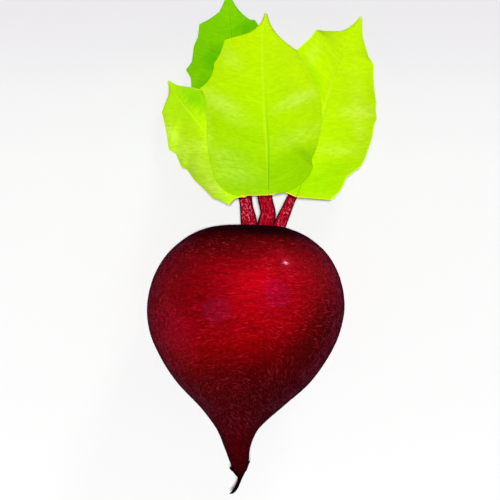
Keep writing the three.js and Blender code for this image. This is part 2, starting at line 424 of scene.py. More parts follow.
class Paint:
    """A procedural material, or the room's light, in the making."""

    def __init__(self, owner: Union[bpy.types.Material, bpy.types.World]) -> None:
        """Clears the nodes of a new material or world.

        Args:
            owner: What the nodes belong to.
        """
        owner.use_nodes = True
        self.owner = owner
        self.tree = owner.node_tree
        self.tree.nodes.clear()

    def node(self, kind: str, settings: dict, sockets: dict) -> bpy.types.Node:
        """Adds one node.

        Args:
            kind: The node's type.
            settings: Its own settings, set first. "stops" sets a colour ramp's stops.
            sockets: Values or links of its inputs, by name or number.

        Returns:
            The node.
        """
        node = self.tree.nodes.new(kind)
        for key, setting in settings.items():
            if key == "stops":
                self._set_stops(node.color_ramp, setting)
            else:
                setattr(node, key, setting)
        for key, plug in sockets.items():
            if isinstance(plug, Value):
                self.tree.links.new(plug.socket, node.inputs[key])
            elif isinstance(plug, tuple) and len(node.inputs[key].default_value) == 4:
                node.inputs[key].default_value = (*plug, 1.0)
            else:
                node.inputs[key].default_value = plug
        return node

    @staticmethod
    def _set_stops(ramp: bpy.types.ColorRamp, stops: Sequence[tuple[float, Colour]]) -> None:
        """Gives a colour ramp its stops.

        Args:
            ramp: The ramp.
            stops: A position and a colour for each stop.
        """
        while len(ramp.elements) < len(stops):
            ramp.elements.new(1.0)
        for element, (position, colour) in zip(ramp.elements, stops):
            element.position = position
            element.color = (*colour, 1.0)

    def value(self, kind: str, settings: dict, sockets: dict, output: Union[int, str] = 0) -> Value:
        """Adds one node and gives one of its outputs, by name or number."""
        return Value(self, self.node(kind, settings, sockets).outputs[output])

    def spot(self) -> Value:
        """Gives the place on the piece, in metres."""
        return self.value("ShaderNodeTexCoord", {}, {}, "Object")

    def mark(self, name: str) -> Value:
        """Gives the vector that is kept on the vertices under a name."""
        return self.value("ShaderNodeAttribute", {"attribute_name": name}, {}, "Vector")

    def split(self, vector: Value) -> tuple[Value, Value, Value]:
        """Splits a vector into its three numbers."""
        parts = self.node("ShaderNodeSeparateXYZ", {}, {"Vector": vector}).outputs
        return Value(self, parts[0]), Value(self, parts[1]), Value(self, parts[2])

    def away(self, vector: Value, point: Point) -> Value:
        """Gives how far a vector lies from a point."""
        settings = {"operation": "DISTANCE"}
        return self.value("ShaderNodeVectorMath", settings, {0: vector, 1: point}, "Value")

    def grain(self, vector: Value, grain: Grain) -> Value:
        """Gives a noise between 0 and 1.

        Args:
            vector: Where to read it, in metres.
            grain: What the noise is like.

        Returns:
            The noise.
        """
        sockets = {0: vector, 1: grain.stretch}
        place = self.value("ShaderNodeVectorMath", {"operation": "MULTIPLY"}, sockets)
        sockets = {"Vector": place, "Scale": grain.scale, "Detail": grain.detail}
        sockets["Roughness"] = grain.rough
        return self.value("ShaderNodeTexNoise", {"noise_dimensions": "3D"}, sockets)

    def rise(self, value: Value, low: float, high: float) -> Value:
        """Rises softly from 0 to 1.

        Args:
            value: Where to read the step.
            low: The value at which it starts to rise.
            high: The value at which it has risen, which may be the lower of the two.

        Returns:
            The step.
        """
        settings = {"interpolation_type": "SMOOTHSTEP"}
        sockets = {"Value": value, "From Min": low, "From Max": high}
        return self.value("ShaderNodeMapRange", settings, sockets)

    def lift(self, value: Value, lift: Lift) -> Value:
        """Gives how far a lift has come up at a value."""
        return self.rise(value, *lift.span) * lift.most

    def bands(self, along: Value, stops: Sequence[tuple[float, Colour]]) -> Value:
        """Gives a colour that changes along the piece.

        Args:
            along: The place along it, in millimetres.
            stops: A place in millimetres and a colour for each stop, in order.

        Returns:
            The colour.
        """
        start, length = stops[0][0], stops[-1][0] - stops[0][0]
        shares = [((place - start) / length, colour) for place, colour in stops]
        return self.ramp((along - start) / length, shares)

    def ramp(self, value: Value, stops: Sequence[tuple[float, Colour]]) -> Value:
        """Gives the colour at a value between 0 and 1."""
        return self.value("ShaderNodeValToRGB", {"stops": stops}, {0: value})

    def mix(self, share: Plug, first: Plug, second: Plug, how: str = "MIX") -> Value:
        """Mixes two colours, by default from the first at share 0 to the second at share 1."""
        settings = {"data_type": "RGBA", "blend_type": how, "clamp_factor": True}
        return self.value("ShaderNodeMix", settings, {0: share, 6: first, 7: second}, 2)

    def times(self, first: Plug, second: Plug) -> Value:
        """Multiplies two colours."""
        return self.mix(1.0, first, second, "MULTIPLY")

    def wash(self, tone: Value, by: Value, wash: Wash, within: Plug = 1.0) -> Value:
        """Lays a wash over a tone, where it comes up on one value, within a mask."""
        return self.mix(self.rise(by, *wash.span) * within * wash.most, tone, wash.colour)

    def bump(self, height: Value, depth: float, strength: float) -> Value:
        """Gives a surface direction that is bumped by a height, with its depth in metres."""
        sockets = {"Height": height, "Distance": depth, "Strength": strength}
        return self.value("ShaderNodeBump", {}, sockets, "Normal")

    def finish(self, sockets: dict) -> bpy.types.Material:
        """Ends the material with its surface.

        Args:
            sockets: Values or links of the surface's sockets, by name.

        Returns:
            The finished material.
        """
        surface = self.value("ShaderNodeBsdfPrincipled", {}, sockets, "BSDF")
        self.node("ShaderNodeOutputMaterial", {}, {"Surface": surface})
        return self.owner


@dataclass(frozen=True)
class RootSkin:
    """Crimson root skin: dark at the crown and tail, with a leathery grain, pale flecks painted as
    glints, and painted sheen and a painted dark outline round its flanks.
    """

    # The colour along the root, by the place along Y in millimetres.
    tones: tuple[tuple[float, Colour], ...] = (
        (-68.0, (0.004, 0.0006, 0.0008)),
        (-61.0, (0.006, 0.0006, 0.0008)),
        (-58.0, (0.022, 0.0006, 0.0010)),
        (-46.0, (0.040, 0.0003, 0.0010)),
        (-34.0, (0.053, 0.0003, 0.0008)),
        (-24.0, (0.095, 0.0003, 0.0005)),
        (-13.0, (0.180, 0.0003, 0.0007)),
        (0.0, (0.235, 0.0004, 0.0022)),
        (10.0, (0.240, 0.0004, 0.0028)),
        (18.0, (0.180, 0.0004, 0.0022)),
        (24.0, (0.085, 0.0003, 0.0008)),
        (27.0, (0.031, 0.0002, 0.0003)),
        (28.3, (0.002, 0.0001, 0.0001)),
        (29.2, (0.004, 0.0004, 0.0004)),
        (29.6, (0.030, 0.0060, 0.0045)),
        (30.0, (0.030, 0.0060, 0.0045)),
    )
    gloss_tint: Colour = (1.0, 0.16, 0.38)

    # The grains, read on the weft, and the lengthwise lines of the flanks, read on the seam.
    strokes: Grain = Grain((0.20, 1.0, 0.20), 760.0, 3.0, 0.6)
    leather: Grain = Grain((0.65, 1.35, 0.65), 1250.0, 3.0, 0.65)
    threads: Grain = Grain((0.25, 1.5, 0.25), 1900.0, 2.0, 0.55)
    arches: Grain = Grain((0.12, 1.4, 0.12), 1500.0, 2.0, 0.6)
    lines: Grain = Grain((1.0, 0.27, 1.0), 1000.0, 2.0, 0.6)

    # How the grains lighten the tone, from the least that is left of it.
    stroke_lift: Lift = Lift(0.32, (0.28, 0.72))
    leather_lift: Lift = Lift(0.46)
    least: float = 0.60

    # Pale flecks on the threads, painted glints of light, where the leather is within a span. Above the
    # tail they give way, by a share, to dotted arches.
    fleck: Wash = Wash((0.66, 0.014, 0.046), 0.42, (0.57, 0.66))
    fleck_leather: Span = (0.30, 0.54)
    fleck_loss: float = 0.5
    dots: Wash = Wash((0.42, 0.035, 0.09), 0.22, (0.52, 0.60))
    dot_leather: Span = (0.48, 0.58)
    above_tail: tuple[Span, Span] = ((-17.0, -28.0), (-50.0, -42.0))

    # Dark lines of painted shade and pale lines of painted glints along the flanks, on the values of
    # their noise.
    painted_shade_lines: Wash = Wash((0.033, 0.0006, 0.0035), 0.48, (0.48, 0.36))
    painted_sheen: Wash = Wash((0.33, 0.036, 0.115), 0.24, (0.52, 0.66))
    # A painted magenta sheen round a point on the left flank, its span in millimetres from there.
    painted_sheen_spot: Point = (-0.0235, -0.0075, 0.053)
    glow: Wash = Wash((0.30, 0.0004, 0.060), 0.08, (15.0, 3.0))
    # A painted mauve sheen and a dark line of painted shade on the widest line, and the dark tail, in
    # millimetres from that line.
    painted_rim_sheen: Wash = Wash((0.36, 0.080, 0.200), 0.12, (18.0, 5.0))
    painted_rim_sheen_leather: Span = (0.34, 0.66)
    brink: Wash = Wash((0.033, 0.0006, 0.0035), 0.40, (6.5, 1.0))
    tail: Wash = Wash((0.004, 0.0006, 0.0008), 0.85, (2.2, 1.2))
    tail_from: Span = (-51.0, -55.0)

    # The middle of the smooth spot that sparkles, and from how far off it, in millimetres, the skin is
    # rough.
    sparkle: Point = (0.0145, 0.0158, 0.0609)
    calm: Span = (1.5, 3.2)
    # How high the strokes, the leather and the threads stand, and the depth and strength of it all.
    heights: tuple[float, float, float] = (0.55, 0.8, 0.5)
    relief: Span = (0.00030, 0.7)
    dullness: Lift = Lift(0.12)
    # The coat: how strong it is on the calm spot, what it loses off it, and what the strokes give back.
    coat_calm: float = 0.42
    coat_loss: float = 0.20
    coat: Lift = Lift(0.30, (0.36, 0.60))

    def material(self) -> bpy.types.Material:
        """Paints the skin.

        The mark "weft" holds the place on the root, bent the way that the skin's flecks run. The mark
        "tone" holds how bright the skin is there, as a factor that carries painted light and shade, how
        flecked with painted glints, and how much of a flank. The mark "seam" holds how far round the root
        a point lies from its widest line, and where along it.

        Returns:
            The material.
        """
        paint = Paint(bpy.data.materials.new("root_skin_crimson"))
        spot = paint.spot()
        weft, seam = paint.mark("weft"), paint.mark("seam")
        bright, glint_flecking, flank = paint.split(paint.mark("tone"))
        along = paint.split(spot)[1] / MM
        off_line = paint.split(seam)[0].size() / MM
        strokes, leather = paint.grain(weft, self.strokes), paint.grain(weft, self.leather)
        threads, arches = paint.grain(weft, self.threads), paint.grain(weft, self.arches)
        lines = paint.grain(seam, self.lines)

        tone = paint.times(paint.bands(along, self.tones), bright)
        lift = paint.lift(strokes, self.stroke_lift) + paint.lift(leather, self.leather_lift)
        tone = paint.times(tone, lift + self.least)
        low = paint.rise(along, *self.above_tail[0]) * paint.rise(along, *self.above_tail[1])
        flecked = paint.rise(leather, *self.fleck_leather) * glint_flecking * (1 - low * self.fleck_loss)
        tone = paint.wash(tone, threads, self.fleck, flecked)
        tone = paint.wash(tone, arches, self.dots, paint.rise(leather, *self.dot_leather) * low)
        tone = paint.wash(tone, lines, self.painted_shade_lines, flank)
        tone = paint.wash(tone, lines, self.painted_sheen, flank)
        tone = paint.wash(tone, paint.away(spot, self.painted_sheen_spot) / MM, self.glow)
        tone = paint.wash(tone, off_line, self.painted_rim_sheen, paint.rise(leather, *self.painted_rim_sheen_leather) * flank)
        tone = paint.wash(tone, off_line, self.brink, flank)
        tone = paint.wash(tone, off_line, self.tail, paint.rise(along, *self.tail_from))

        rough = paint.rise(paint.away(spot, self.sparkle) / MM, *self.calm)
        height = sum(part * size for part, size in zip((strokes, leather, threads), self.heights))
        coat = paint.lift(strokes, self.coat) * rough - rough * self.coat_loss + self.coat_calm
        return paint.finish(
            {
                "Base Color": tone,
                "Roughness": paint.lift(leather, self.dullness) + 0.22,
                "Specular IOR Level": 0.10,
                "Specular Tint": self.gloss_tint,
                "Coat Weight": coat,
                "Coat Roughness": 0.10,
                "Normal": paint.bump(height * rough, *self.relief),
            }
        )


@dataclass(frozen=True)
class StalkSkin:
    """Crimson leaf stalk with a fine lengthwise grain, painted shade along its sides and painted shade
    where the blade's foot covers it.
    """

    deep: Colour = (0.13, 0.0006, 0.004)
    bright: Colour = (0.345, 0.0014, 0.009)
    pale: Wash = Wash((0.80, 0.20, 0.33), 1.0, (0.56, 0.65))
    # The colour of the painted shade along the sides and under the blade's foot.
    rim: Colour = (0.035, 0.0006, 0.003)
    gloss_tint: Colour = (1.0, 0.2, 0.4)
    fibres: Grain = Grain((1.8, 0.5, 1.8), 900.0, 3.0, 0.65)
    cells: Grain = Grain((1.25, 0.65, 1.25), 1900.0, 2.0, 0.55)
    # How much of the tone the fibres and the cells steer, and the span from deep to bright.
    parts: Span = (0.6, 0.4)
    tone_span: Span = (0.38, 0.62)
    fleck_fibres: Span = (0.36, 0.52)
    # The share of the stalk at which the blade's foot covers it, and how its shade comes and goes.
    foot: float = 0.6
    shade_before: float = 0.035
    shade_after: float = 0.12
    shade: float = 0.85
    # How far to the side the dark rim of painted shade starts and is full, and how dark it gets.
    side: Span = (0.74, 0.87)
    side_dark: float = 0.94
    heights: Span = (0.7, 0.5)
    relief: Span = (0.00025, 0.6)

    def material(self) -> bpy.types.Material:
        """Paints the stalk.

        The mark "stalk" holds the share along it, how far to its side a point is and how flecked it is.

        Returns:
            The material.
        """
        paint = Paint(bpy.data.materials.new("stalk_crimson"))
        spot = paint.spot()
        share, side, flecked = paint.split(paint.mark("stalk"))
        fibres, cells = paint.grain(spot, self.fibres), paint.grain(spot, self.cells)
        steer = fibres * self.parts[0] + cells * self.parts[1]
        tone = paint.mix(paint.rise(steer, *self.tone_span), self.deep, self.bright)
        tone = paint.wash(tone, cells, self.pale, paint.rise(fibres, *self.fleck_fibres) * flecked)
        before = paint.rise(share, self.foot - self.shade_before, self.foot)
        after = paint.rise(share, self.foot + self.shade_after, self.foot)
        tone = paint.mix(before * after * self.shade, tone, self.rim)
        tone = paint.mix(paint.rise(side.size(), *self.side) * self.side_dark, tone, self.rim)
        height = fibres * self.heights[0] + cells * self.heights[1]
        return paint.finish(
            {
                "Base Color": tone,
                "Roughness": 0.45,
                "Specular IOR Level": 0.12,
                "Specular Tint": self.gloss_tint,
                "Normal": paint.bump(height, *self.relief),
            }
        )


@dataclass(frozen=True)
class LeafSkin:
    """Young leaf: lime or green, greener towards its base, with a fine weft, painted pale sheen streaks
    and painted shade.
    """

    name: str
    base: Colour
    middle: Colour
    tip: Colour
    streak: Colour
    shade: Colour
    edge: Colour
    rib_light: Colour
    rib_dark: Colour
    glow: float = 0.0
    middle_at: float = 0.45
    foot: Colour = (0.78, 0.44, 0.06)
    # How far the foot's colour runs along the edge to the left and right of the midrib, how softly it
    # ends, both in millimetres, up to which share of the blade it goes, and how much of it covers.
    foot_reach: Span = (9.4, 1.8)
    foot_fade: float = 1.0
    foot_share: Span = (0.14, 0.12)
    foot_cover: float = 0.8
    gloss_tint: Colour = (0.9, 1.0, 0.1)

    # The slow drift of the tone, the grains on the weft, and the finest grain of the surface.
    drift: Grain = Grain((1.0, 1.0, 1.0), 60.0)
    drift_size: float = 0.16
    hatch: Grain = Grain((0.16, 1.0, 0.16), 1200.0, 3.0, 0.65)
    broad: Grain = Grain((0.12, 0.6, 0.12), 330.0)
    waves: Grain = Grain((0.42, 1.0, 0.42), 1150.0, 3.0, 0.65)
    fine: Grain = Grain((1.0, 1.0, 1.0), 1500.0, 2.0, 0.6)
    wave_lift: Lift = Lift(0.11)
    hatch_lift: Lift = Lift(0.03)
    least: float = 0.93

    # How waves and broad grain tear the painted pale sheen streaks, and what is left of a streak between
    # them.
    tear: Span = (0.7, 0.5)
    torn: Lift = Lift(0.65, (0.44, 0.76))
    untorn: float = 0.15
    vein_cover: float = 0.22

    # The midrib's painted light and painted shade on its two sides: where each lies across the blade and
    # how wide it fades.
    light_side: float = -0.026
    light_span: Span = (0.030, 0.006)
    light_cover: float = 0.40
    dark_side: float = 0.016
    dark_span: Span = (0.034, 0.006)
    # The dark side is darkest at the base, over a share of the blade, and keeps a little to the tip.
    dark_base: Lift = Lift(0.80, (0.55, 0.0))
    dark_least: float = 0.16
    # The midrib's width at the base and what it loses to the tip, its wider foot and its end.
    rib_width: float = 1.25
    rib_taper: float = 0.75
    rib_foot: Lift = Lift(0.9, (0.25, 0.0))
    rib_end: Span = (0.99, 0.80)

    # How far off the edge the dark brink and the light rim reach, in millimetres.
    brink: Span = (1.0, 0.4)
    brink_cover: float = 0.12
    rim: Span = (0.55, 0.25)
    # How high the hatch, the waves and the finest grain stand, and the depth and strength of it all.
    heights: tuple[float, float, float] = (0.3, 0.4, 0.4)
    relief: Span = (0.00014, 0.6)

    def material(self) -> bpy.types.Material:
        """Paints the blade.

        The mark "blade" holds the share along it, the column across it and how much of a side vein
        runs there. The mark "bloom" holds how much painted sheen and how much painted shade lie there,
        and how far off its edge is. The mark "weft" holds the place on it, measured along the way that
        its side veins run.

        Returns:
            The material.
        """
        paint = Paint(bpy.data.materials.new(self.name))
        spot, weft = paint.spot(), paint.mark("weft")
        share, column, vein = paint.split(paint.mark("blade"))
        painted_sheen, shade, brink = paint.split(paint.mark("painted_sheen"))
        hatch, broad = paint.grain(weft, self.hatch), paint.grain(weft, self.broad)
        waves, fine = paint.grain(weft, self.waves), paint.grain(spot, self.fine)

        drift = paint.grain(spot, self.drift) * self.drift_size - self.drift_size / 2
        stops = [(0.0, self.base), (self.middle_at, self.middle), (1.0, self.tip)]
        tone = paint.mix(shade, paint.ramp(share + drift, stops), self.shade)
        lift = paint.lift(waves, self.wave_lift) + paint.lift(hatch, self.hatch_lift)
        tone = paint.times(tone, lift + self.least)
        torn = paint.lift(waves * self.tear[0] + broad * self.tear[1], self.torn) + self.untorn
        tone = paint.mix(painted_sheen * torn, tone, self.streak)
        tone = paint.mix(vein * self.vein_cover, tone, self.rib_light)

        slim = self.rib_width - share * self.rib_taper + paint.lift(share, self.rib_foot)
        light = paint.rise((column - self.light_side).size() / slim, *self.light_span)
        dark = paint.rise((column - self.dark_side).size() / slim, *self.dark_span)
        dark = dark * (paint.lift(share, self.dark_base) + self.dark_least)
        open_rib = paint.rise(share, *self.rib_end)
        tone = paint.mix(light * open_rib * self.light_cover, tone, self.rib_light)
        tone = paint.mix(dark * open_rib, tone, self.rib_dark)

        brink = brink / MM
        tone = paint.mix(paint.rise(brink, *self.brink) * self.brink_cover, tone, self.rib_dark)
        rim = paint.rise(brink, *self.rim)
        tone = paint.mix(rim * self.glow, tone, self.edge)
        right = paint.split(weft)[0] / MM
        left_end, right_end = -self.foot_reach[0], self.foot_reach[1]
        footed = paint.rise(right, left_end - self.foot_fade, left_end)
        footed = footed * paint.rise(right, right_end + self.foot_fade, right_end)
        footed = footed * paint.rise(share, *self.foot_share) * self.foot_cover
        tone = paint.mix(rim * footed, tone, self.foot)
        height = sum(part * size for part, size in zip((hatch, waves, fine), self.heights))
        return paint.finish(
            {
                "Base Color": tone,
                "Roughness": 0.5,
                "Specular IOR Level": 0.05,
                "Specular Tint": self.gloss_tint,
                "Normal": paint.bump(height, *self.relief),
            }
        )


LIME_LEAF = LeafSkin(
    name="leaf_lime_blade",
    base=(0.234, 0.466, 0.0003),
    middle=(0.306, 0.546, 0.0003),
    tip=(0.425, 0.652, 0.0003),
    streak=(0.50, 0.66, 0.090),
    shade=(0.205, 0.440, 0.0003),
    edge=(0.56, 0.78, 0.04),
    rib_light=(0.40, 0.62, 0.01),
    rib_dark=(0.16, 0.42, 0.0004),
)
BRIGHT_LEAF = replace(
    LIME_LEAF,
    name="leaf_lime_blade_bright",
    base=(0.310, 0.560, 0.0003),
    middle=(0.350, 0.592, 0.0003),
    tip=(0.392, 0.625, 0.0003),
    streak=(0.56, 0.68, 0.080),
    shade=(0.245, 0.520, 0.0003),
    rib_light=(0.47, 0.70, 0.01),
    rib_dark=(0.24, 0.52, 0.0004),
    foot_reach=(3.0, 2.5),
    glow=0.5,
)
# The left blade's tones are lighter: painted light that makes up for the shade on its steep slope.
PALE_LEAF = replace(
    LIME_LEAF,
    name="leaf_lime_blade_pale",
    base=(0.395, 0.740, 0.0003),
    middle=(0.430, 0.740, 0.0003),
    tip=(0.380, 0.668, 0.0003),
    streak=(0.66, 0.93, 0.080),
    shade=(0.170, 0.520, 0.0003),
    rib_light=(0.50, 0.76, 0.01),
    rib_dark=(0.24, 0.54, 0.0004),
    foot_reach=(0.5, 0.5),
    glow=0.5,
)
GREEN_LEAF = LeafSkin(
    name="leaf_green_blade",
    base=(0.100, 0.330, 0.0003),
    middle=(0.110, 0.338, 0.0003),
    tip=(0.128, 0.385, 0.0003),
    streak=(0.20, 0.44, 0.002),
    shade=(0.068, 0.300, 0.0003),
    edge=(0.07, 0.26, 0.001),
    rib_light=(0.16, 0.44, 0.002),
    rib_dark=(0.06, 0.28, 0.001),
)


# ------------------------------------------------------------------------------- root


@dataclass
class Rootlet:
    """A snapped rootlet on the tail, from its inner end to its tip: [x, y, height over the axis]."""

    name: str
    start: Point
    end: Point
    radius: float
    rings: int = 14
    sides: int = 20
    # How thick it is where it grows, as a share of the radius, and what it loses to its snapped end.
    foot: float = 1.15
    taper: float = 0.55
    # How ragged it is: how much, how many ridges, and how far they wind.
    ragged: tuple[float, int, int] = (0.12, 3, 9)
    snapped: float = 0.12
    # How bright and how flecked its skin is, and that it has no flank.
    tone: Point = (0.25, 0.1, 0.0)

    def build(self, material: bpy.types.Material) -> bpy.types.Object:
        """Builds the rootlet as a short ragged stub.

        Args:
            material: The root's skin.

        Returns:
            The piece.
        """
        path = Curve(np.array([self.start, self.end]) + UP * AXIS_HEIGHT)
        share = np.linspace(0.0, 1.0, self.rings)
        angle, round_about = circle(self.sides)
        front = path.heading(share)
        size, ridges, winding = self.ragged
        taper = self.radius * (self.foot - self.taper * share)
        ragged = 1.0 + size * np.sin(ridges * angle[None, :] + winding * share[:, None])
        centres = path.at(share)
        rings = ring_shell(centres, front, (taper[:, None] * ragged)[..., None] * round_about)
        vertices, faces = capped(rings, centres[0], centres[-1] + self.snapped * front[-1])
        tone = np.tile(self.tone, (len(vertices), 1))
        marks = {"weft": vertices * MM, "tone": tone, "seam": vertices * MM}
        return Shell(vertices, faces, marks).piece(self.name, material)


@dataclass
class Root:
    """The swollen root from its crown to its hooked tail, with the flat spot that it rests on."""

    # Stations from crown to tail: y, radius, x, height over the axis.
    stations: tuple[tuple[float, float, float, float], ...] = (
        (29.5, 0, 0.6, 0),
        (29.3, 7.8, 0.6, 0),
        (28.1, 14.6, 0.6, 0),
        (24.6, 22, 0.7, 0),
        (18.4, 28.9, 0.7, 0),
        (10, 33.3, 0.5, 0),
        (0, BELLY_RADIUS, 0.2, 0),
        (-9.8, 33.5, -0.1, 0),
        (-18.4, 29.5, -0.3, 0),
        (-27, 23.6, -0.5, -0.2),
        (-35.4, 15, -1.3, -0.6),
        (-43.2, 7.8, -2.6, -1.3),
        (-50, 4.7, -2.7, -2.2),
        (-56.4, 3.1, -1.9, -3.2),
        (-58.8, 2.2, -1.8, -3.6),
        (-60.4, 1.1, -1.7, -4),
        (-62.8, 0.65, -2.3, -4.6),
        (-65, 0.65, -3.3, -5.3),
        (-66.4, 0.5, -4.5, -5.9),
        (-67, 0, -5.7, -6.4),
    )
    # Lobes round the body: how many, their share of the radius, their turn.
    lobes: tuple[tuple[int, float, float], ...] = ((2, 0.008, 0.4), (3, 0.006, 1.9), (5, 0.004, 0.7))
    # The radii between which the rings turn from lying across the root's run to standing across Y.
    turns: Span = (2.0, 6.0)
    rings: int = 300
    sides: int = 260
    # Painted light and shade: brighter across the shoulder, darker on both flanks.
    painted_light_patches: tuple[Patch, ...] = (
        Patch(-23.0, 8.0, 15.0, 12.0, 90.0, -0.58),
        Patch(-8.8, 1.7, 5.5, 5.5, 0.0, -0.14),
        Patch(11.0, 5.5, 6.0, 6.0, 0.0, -0.10),
        Patch(1.8, 18.0, 6.0, 4.0, 0.0, -0.25),
        Patch(3.5, 9.0, 12.0, 7.5, 70.0, 0.30),
        Patch(9.5, 14.0, 8.0, 6.5, 40.0, 0.17),
        Patch(29.0, 6.0, 8.0, 18.0, 0.0, -0.18),
        Patch(27.0, -10.0, 22.0, 8.0, 60.0, -1.0),
        Patch(6.0, -26.0, 12.0, 9.0, 0.0, -0.45),
        Patch(-13.0, -3.0, 9.0, 7.0, 0.0, -0.18),
        Patch(14.0, -15.5, 10.0, 6.0, 20.0, -0.28),
        Patch(-19.5, -9.5, 8.0, 5.0, 110.0, 0.14),
        Patch(-8.0, -23.5, 9.0, 5.5, 10.0, -0.22),
        Patch(-32.0, 2.0, 4.5, 16.0, 0.0, -0.18),
        Patch(-9.5, 21.5, 10.0, 4.5, 0.0, -0.42),
        Patch(9.0, 29.2, 13.0, 2.6, -6.0, -2.6),
    )
    # Where the skin is more or less flecked with painted glints, more in one round reflection and less in
    # the other, and where it is smooth.
    glint_patches: tuple[Patch, ...] = (
        Patch(11.0, 5.8, 4.8, 4.8, 0.0, 0.75, 2.0),
        Patch(-9.3, 1.7, 5.4, 5.4, 0.0, -0.30, 2.0),
        Patch(-19.0, 3.0, 6.0, 9.0, 0.0, -0.25),
        Patch(18.0, 4.0, 11.0, 15.0, 0.0, 0.20),
        Patch(20.0, -17.0, 9.0, 8.0, 45.0, -0.30),
    )
    smooth: Patch = Patch(14.5, 15.8, 5.0, 5.0, 0.0, 1.0, 2.0)
    # Soft dents, fine creases and scales, the tail's wrinkles and the crown's cork.
    dents: Ripple = Ripple(0.22, (0.06, 0.09, 0.06), 3.1)
    creases: Ripple = Ripple(0.02, (0.05, 0.55, 0.05), 11.7)
    scales: Ripple = Ripple(0.015, (0.35, 0.8, 0.35), 27.4)
    wrinkles: Ripple = Ripple(0.12, (0.5, 0.25, 0.5), 41.2)
    cork: Ripple = Ripple(0.28, (0.45, 0.9, 0.45), 55.9)
    # Where they come up: with the body's radius, with the tail's, and along Y to the tail and the crown.
    body_radius: Span = (3.0, 14.0)
    tail_radius: Span = (0.4, 2.5)
    to_tail: Span = (-32.0, -46.0)
    to_crown: Span = (25.5, 28.6)
    # How the skin drifts off its weft along X, Y and Z, how unevenly it is ripe, and how unevenly it is
    # flecked with painted glints.
    drifts: tuple[Ripple, ...] = tuple(Ripple(2.2, (0.055,) * 3, seed) for seed in (71.3, 83.9, 97.1))
    ripening: Ripple = Ripple(0.10, (0.07, 0.09, 0.07), 19.3)
    uneven_glints: Ripple = Ripple(0.5, (0.11, 0.14, 0.11), 64.7)

    # The weft's wide arch: its height, its half width and where it comes up along Y.
    bend: Span = (7.0, 13.0)
    bend_over: Span = (2.0, -24.0)
    # The middle of the round arches above the tail, seen from above, and where they take over along Y.
    arches: Span = (-5.6, -34.2)
    arches_over: Span = (-15.0, -27.0)
    # The height from which the painted light and shade and the changes in flecking show, fully at the
    # axis.
    lit_from: float = 15.0
    # How flecked the skin is: where along Y it comes up and goes, its level, its least and most, how
    # much of it is lost towards the tail, and where.
    flecked: tuple[Span, Span] = ((-62.0, -40.0), (23.0, 27.5))
    fleck_level: float = 0.66
    fleck_range: Span = (0.12, 1.0)
    fleck_loss: float = 0.4
    loss_over: Span = (-8.0, -24.0)
    # How far inward from the widest line its lengthwise lines start to fade and end, where along Y they
    # come up and go, and how far apart the seam keeps the two sides, all in millimetres.
    flank: Span = (1.5, 9.0)
    flank_over: tuple[Span, Span] = ((-43.0, -32.0), (22.0, 27.0))
    seam_apart: float = 40.0
    rootlets: tuple[Rootlet, ...] = (
        Rootlet("rootlet_left", (-2.2, -60.0, -3.7), (-5.3, -57.3, -3.4), 0.85),
        Rootlet("rootlet_right", (-1.0, -59.6, -3.6), (1.5, -55.1, -3.1), 0.7),
    )

    def relief(self, skin: np.ndarray, radius: np.ndarray) -> np.ndarray:
        """Gives how far the skin stands out of the plain body.

        Args:
            skin: Points on the plain body, one a row.
            radius: The body's radius at each point.

        Returns:
            Heights in millimetres, one a point.
        """
        y = skin[:, 1]
        body = smoothstep(radius, *self.body_radius)
        tail = smoothstep(y, *self.to_tail) * smoothstep(radius, *self.tail_radius)
        crown = smoothstep(y, *self.to_crown)
        fine = (self.creases.at(skin) + self.scales.at(skin)) * (1 - self.smooth.at(skin))
        high = body * (self.dents.at(skin) + fine)
        return high + tail * self.wrinkles.at(skin) + crown * self.cork.at(skin)

    def weft(self, skin: np.ndarray) -> np.ndarray:
        """Bends the skin the way that its flecks run, into arches above the tail.

        Args:
            skin: Points on the skin, one a row.

        Returns:
            The bent points.
        """
        x, y = skin[:, 0], skin[:, 1]
        arch, half_width = self.bend
        wide = arch * smoothstep(y, *self.bend_over) * (1 - bell(x, half_width))
        over = np.maximum(y - self.arches[1], 0.0)
        arched = np.hypot(x - self.arches[0], over) - over
        share = smoothstep(y, *self.arches_over)
        bent = skin.copy()
        bent[:, 1] += wide * (1 - share) + arched * share
        return bent + np.stack([drift.at(skin) for drift in self.drifts], axis=-1)

    def skin_marks(self, skin: np.ndarray) -> dict[str, np.ndarray]:
        """Gives the numbers that the skin's material reads.

        Args:
            skin: Points on the skin, one a row.

        Returns:
            The weft; the tone; and the seam, which is how far round the root a point lies from its
            widest line, and where along it.
        """
        y = skin[:, 1]
        lit = smoothstep(skin[:, 2], self.lit_from, AXIS_HEIGHT)
        # The painted light and shade, with the random ripening, set how bright the skin is.
        painted_light_patches = sum(patch.at(skin) for patch in self.painted_light_patches)
        bright = np.exp(painted_light_patches * lit + self.ripening.at(skin))
        # How flecked the skin is with pale flecks, which are painted glints of light.
        glint_flecking = window(y, *self.flecked) * (self.fleck_level + self.uneven_glints.at(skin))
        glint_flecking = glint_flecking * (1 - self.fleck_loss * smoothstep(y, *self.loss_over))
        glint_flecking = glint_flecking + sum(glint_patch.at(skin) for glint_patch in self.glint_patches) * lit

        from_crown, _, axis_x, axis_height = (np.array(self.stations) * (-1, 1, 1, 1)).T
        across = skin[:, 0] - np.interp(-y, from_crown, axis_x)
        above = skin[:, 2] - AXIS_HEIGHT - np.interp(-y, from_crown, axis_height)
        around = np.hypot(across, above)
        arc = around * np.arctan2(above, np.abs(across))
        flank = 1 - smoothstep(around - np.abs(across), *self.flank)
        flank = flank * window(y, *self.flank_over)
        tone = np.stack([bright, np.clip(glint_flecking, *self.fleck_range), flank], axis=-1)
        seam = np.stack([arc, y, np.sign(across) * self.seam_apart], axis=-1)
        return {"weft": self.weft(skin) * MM, "tone": tone, "seam": seam * MM}

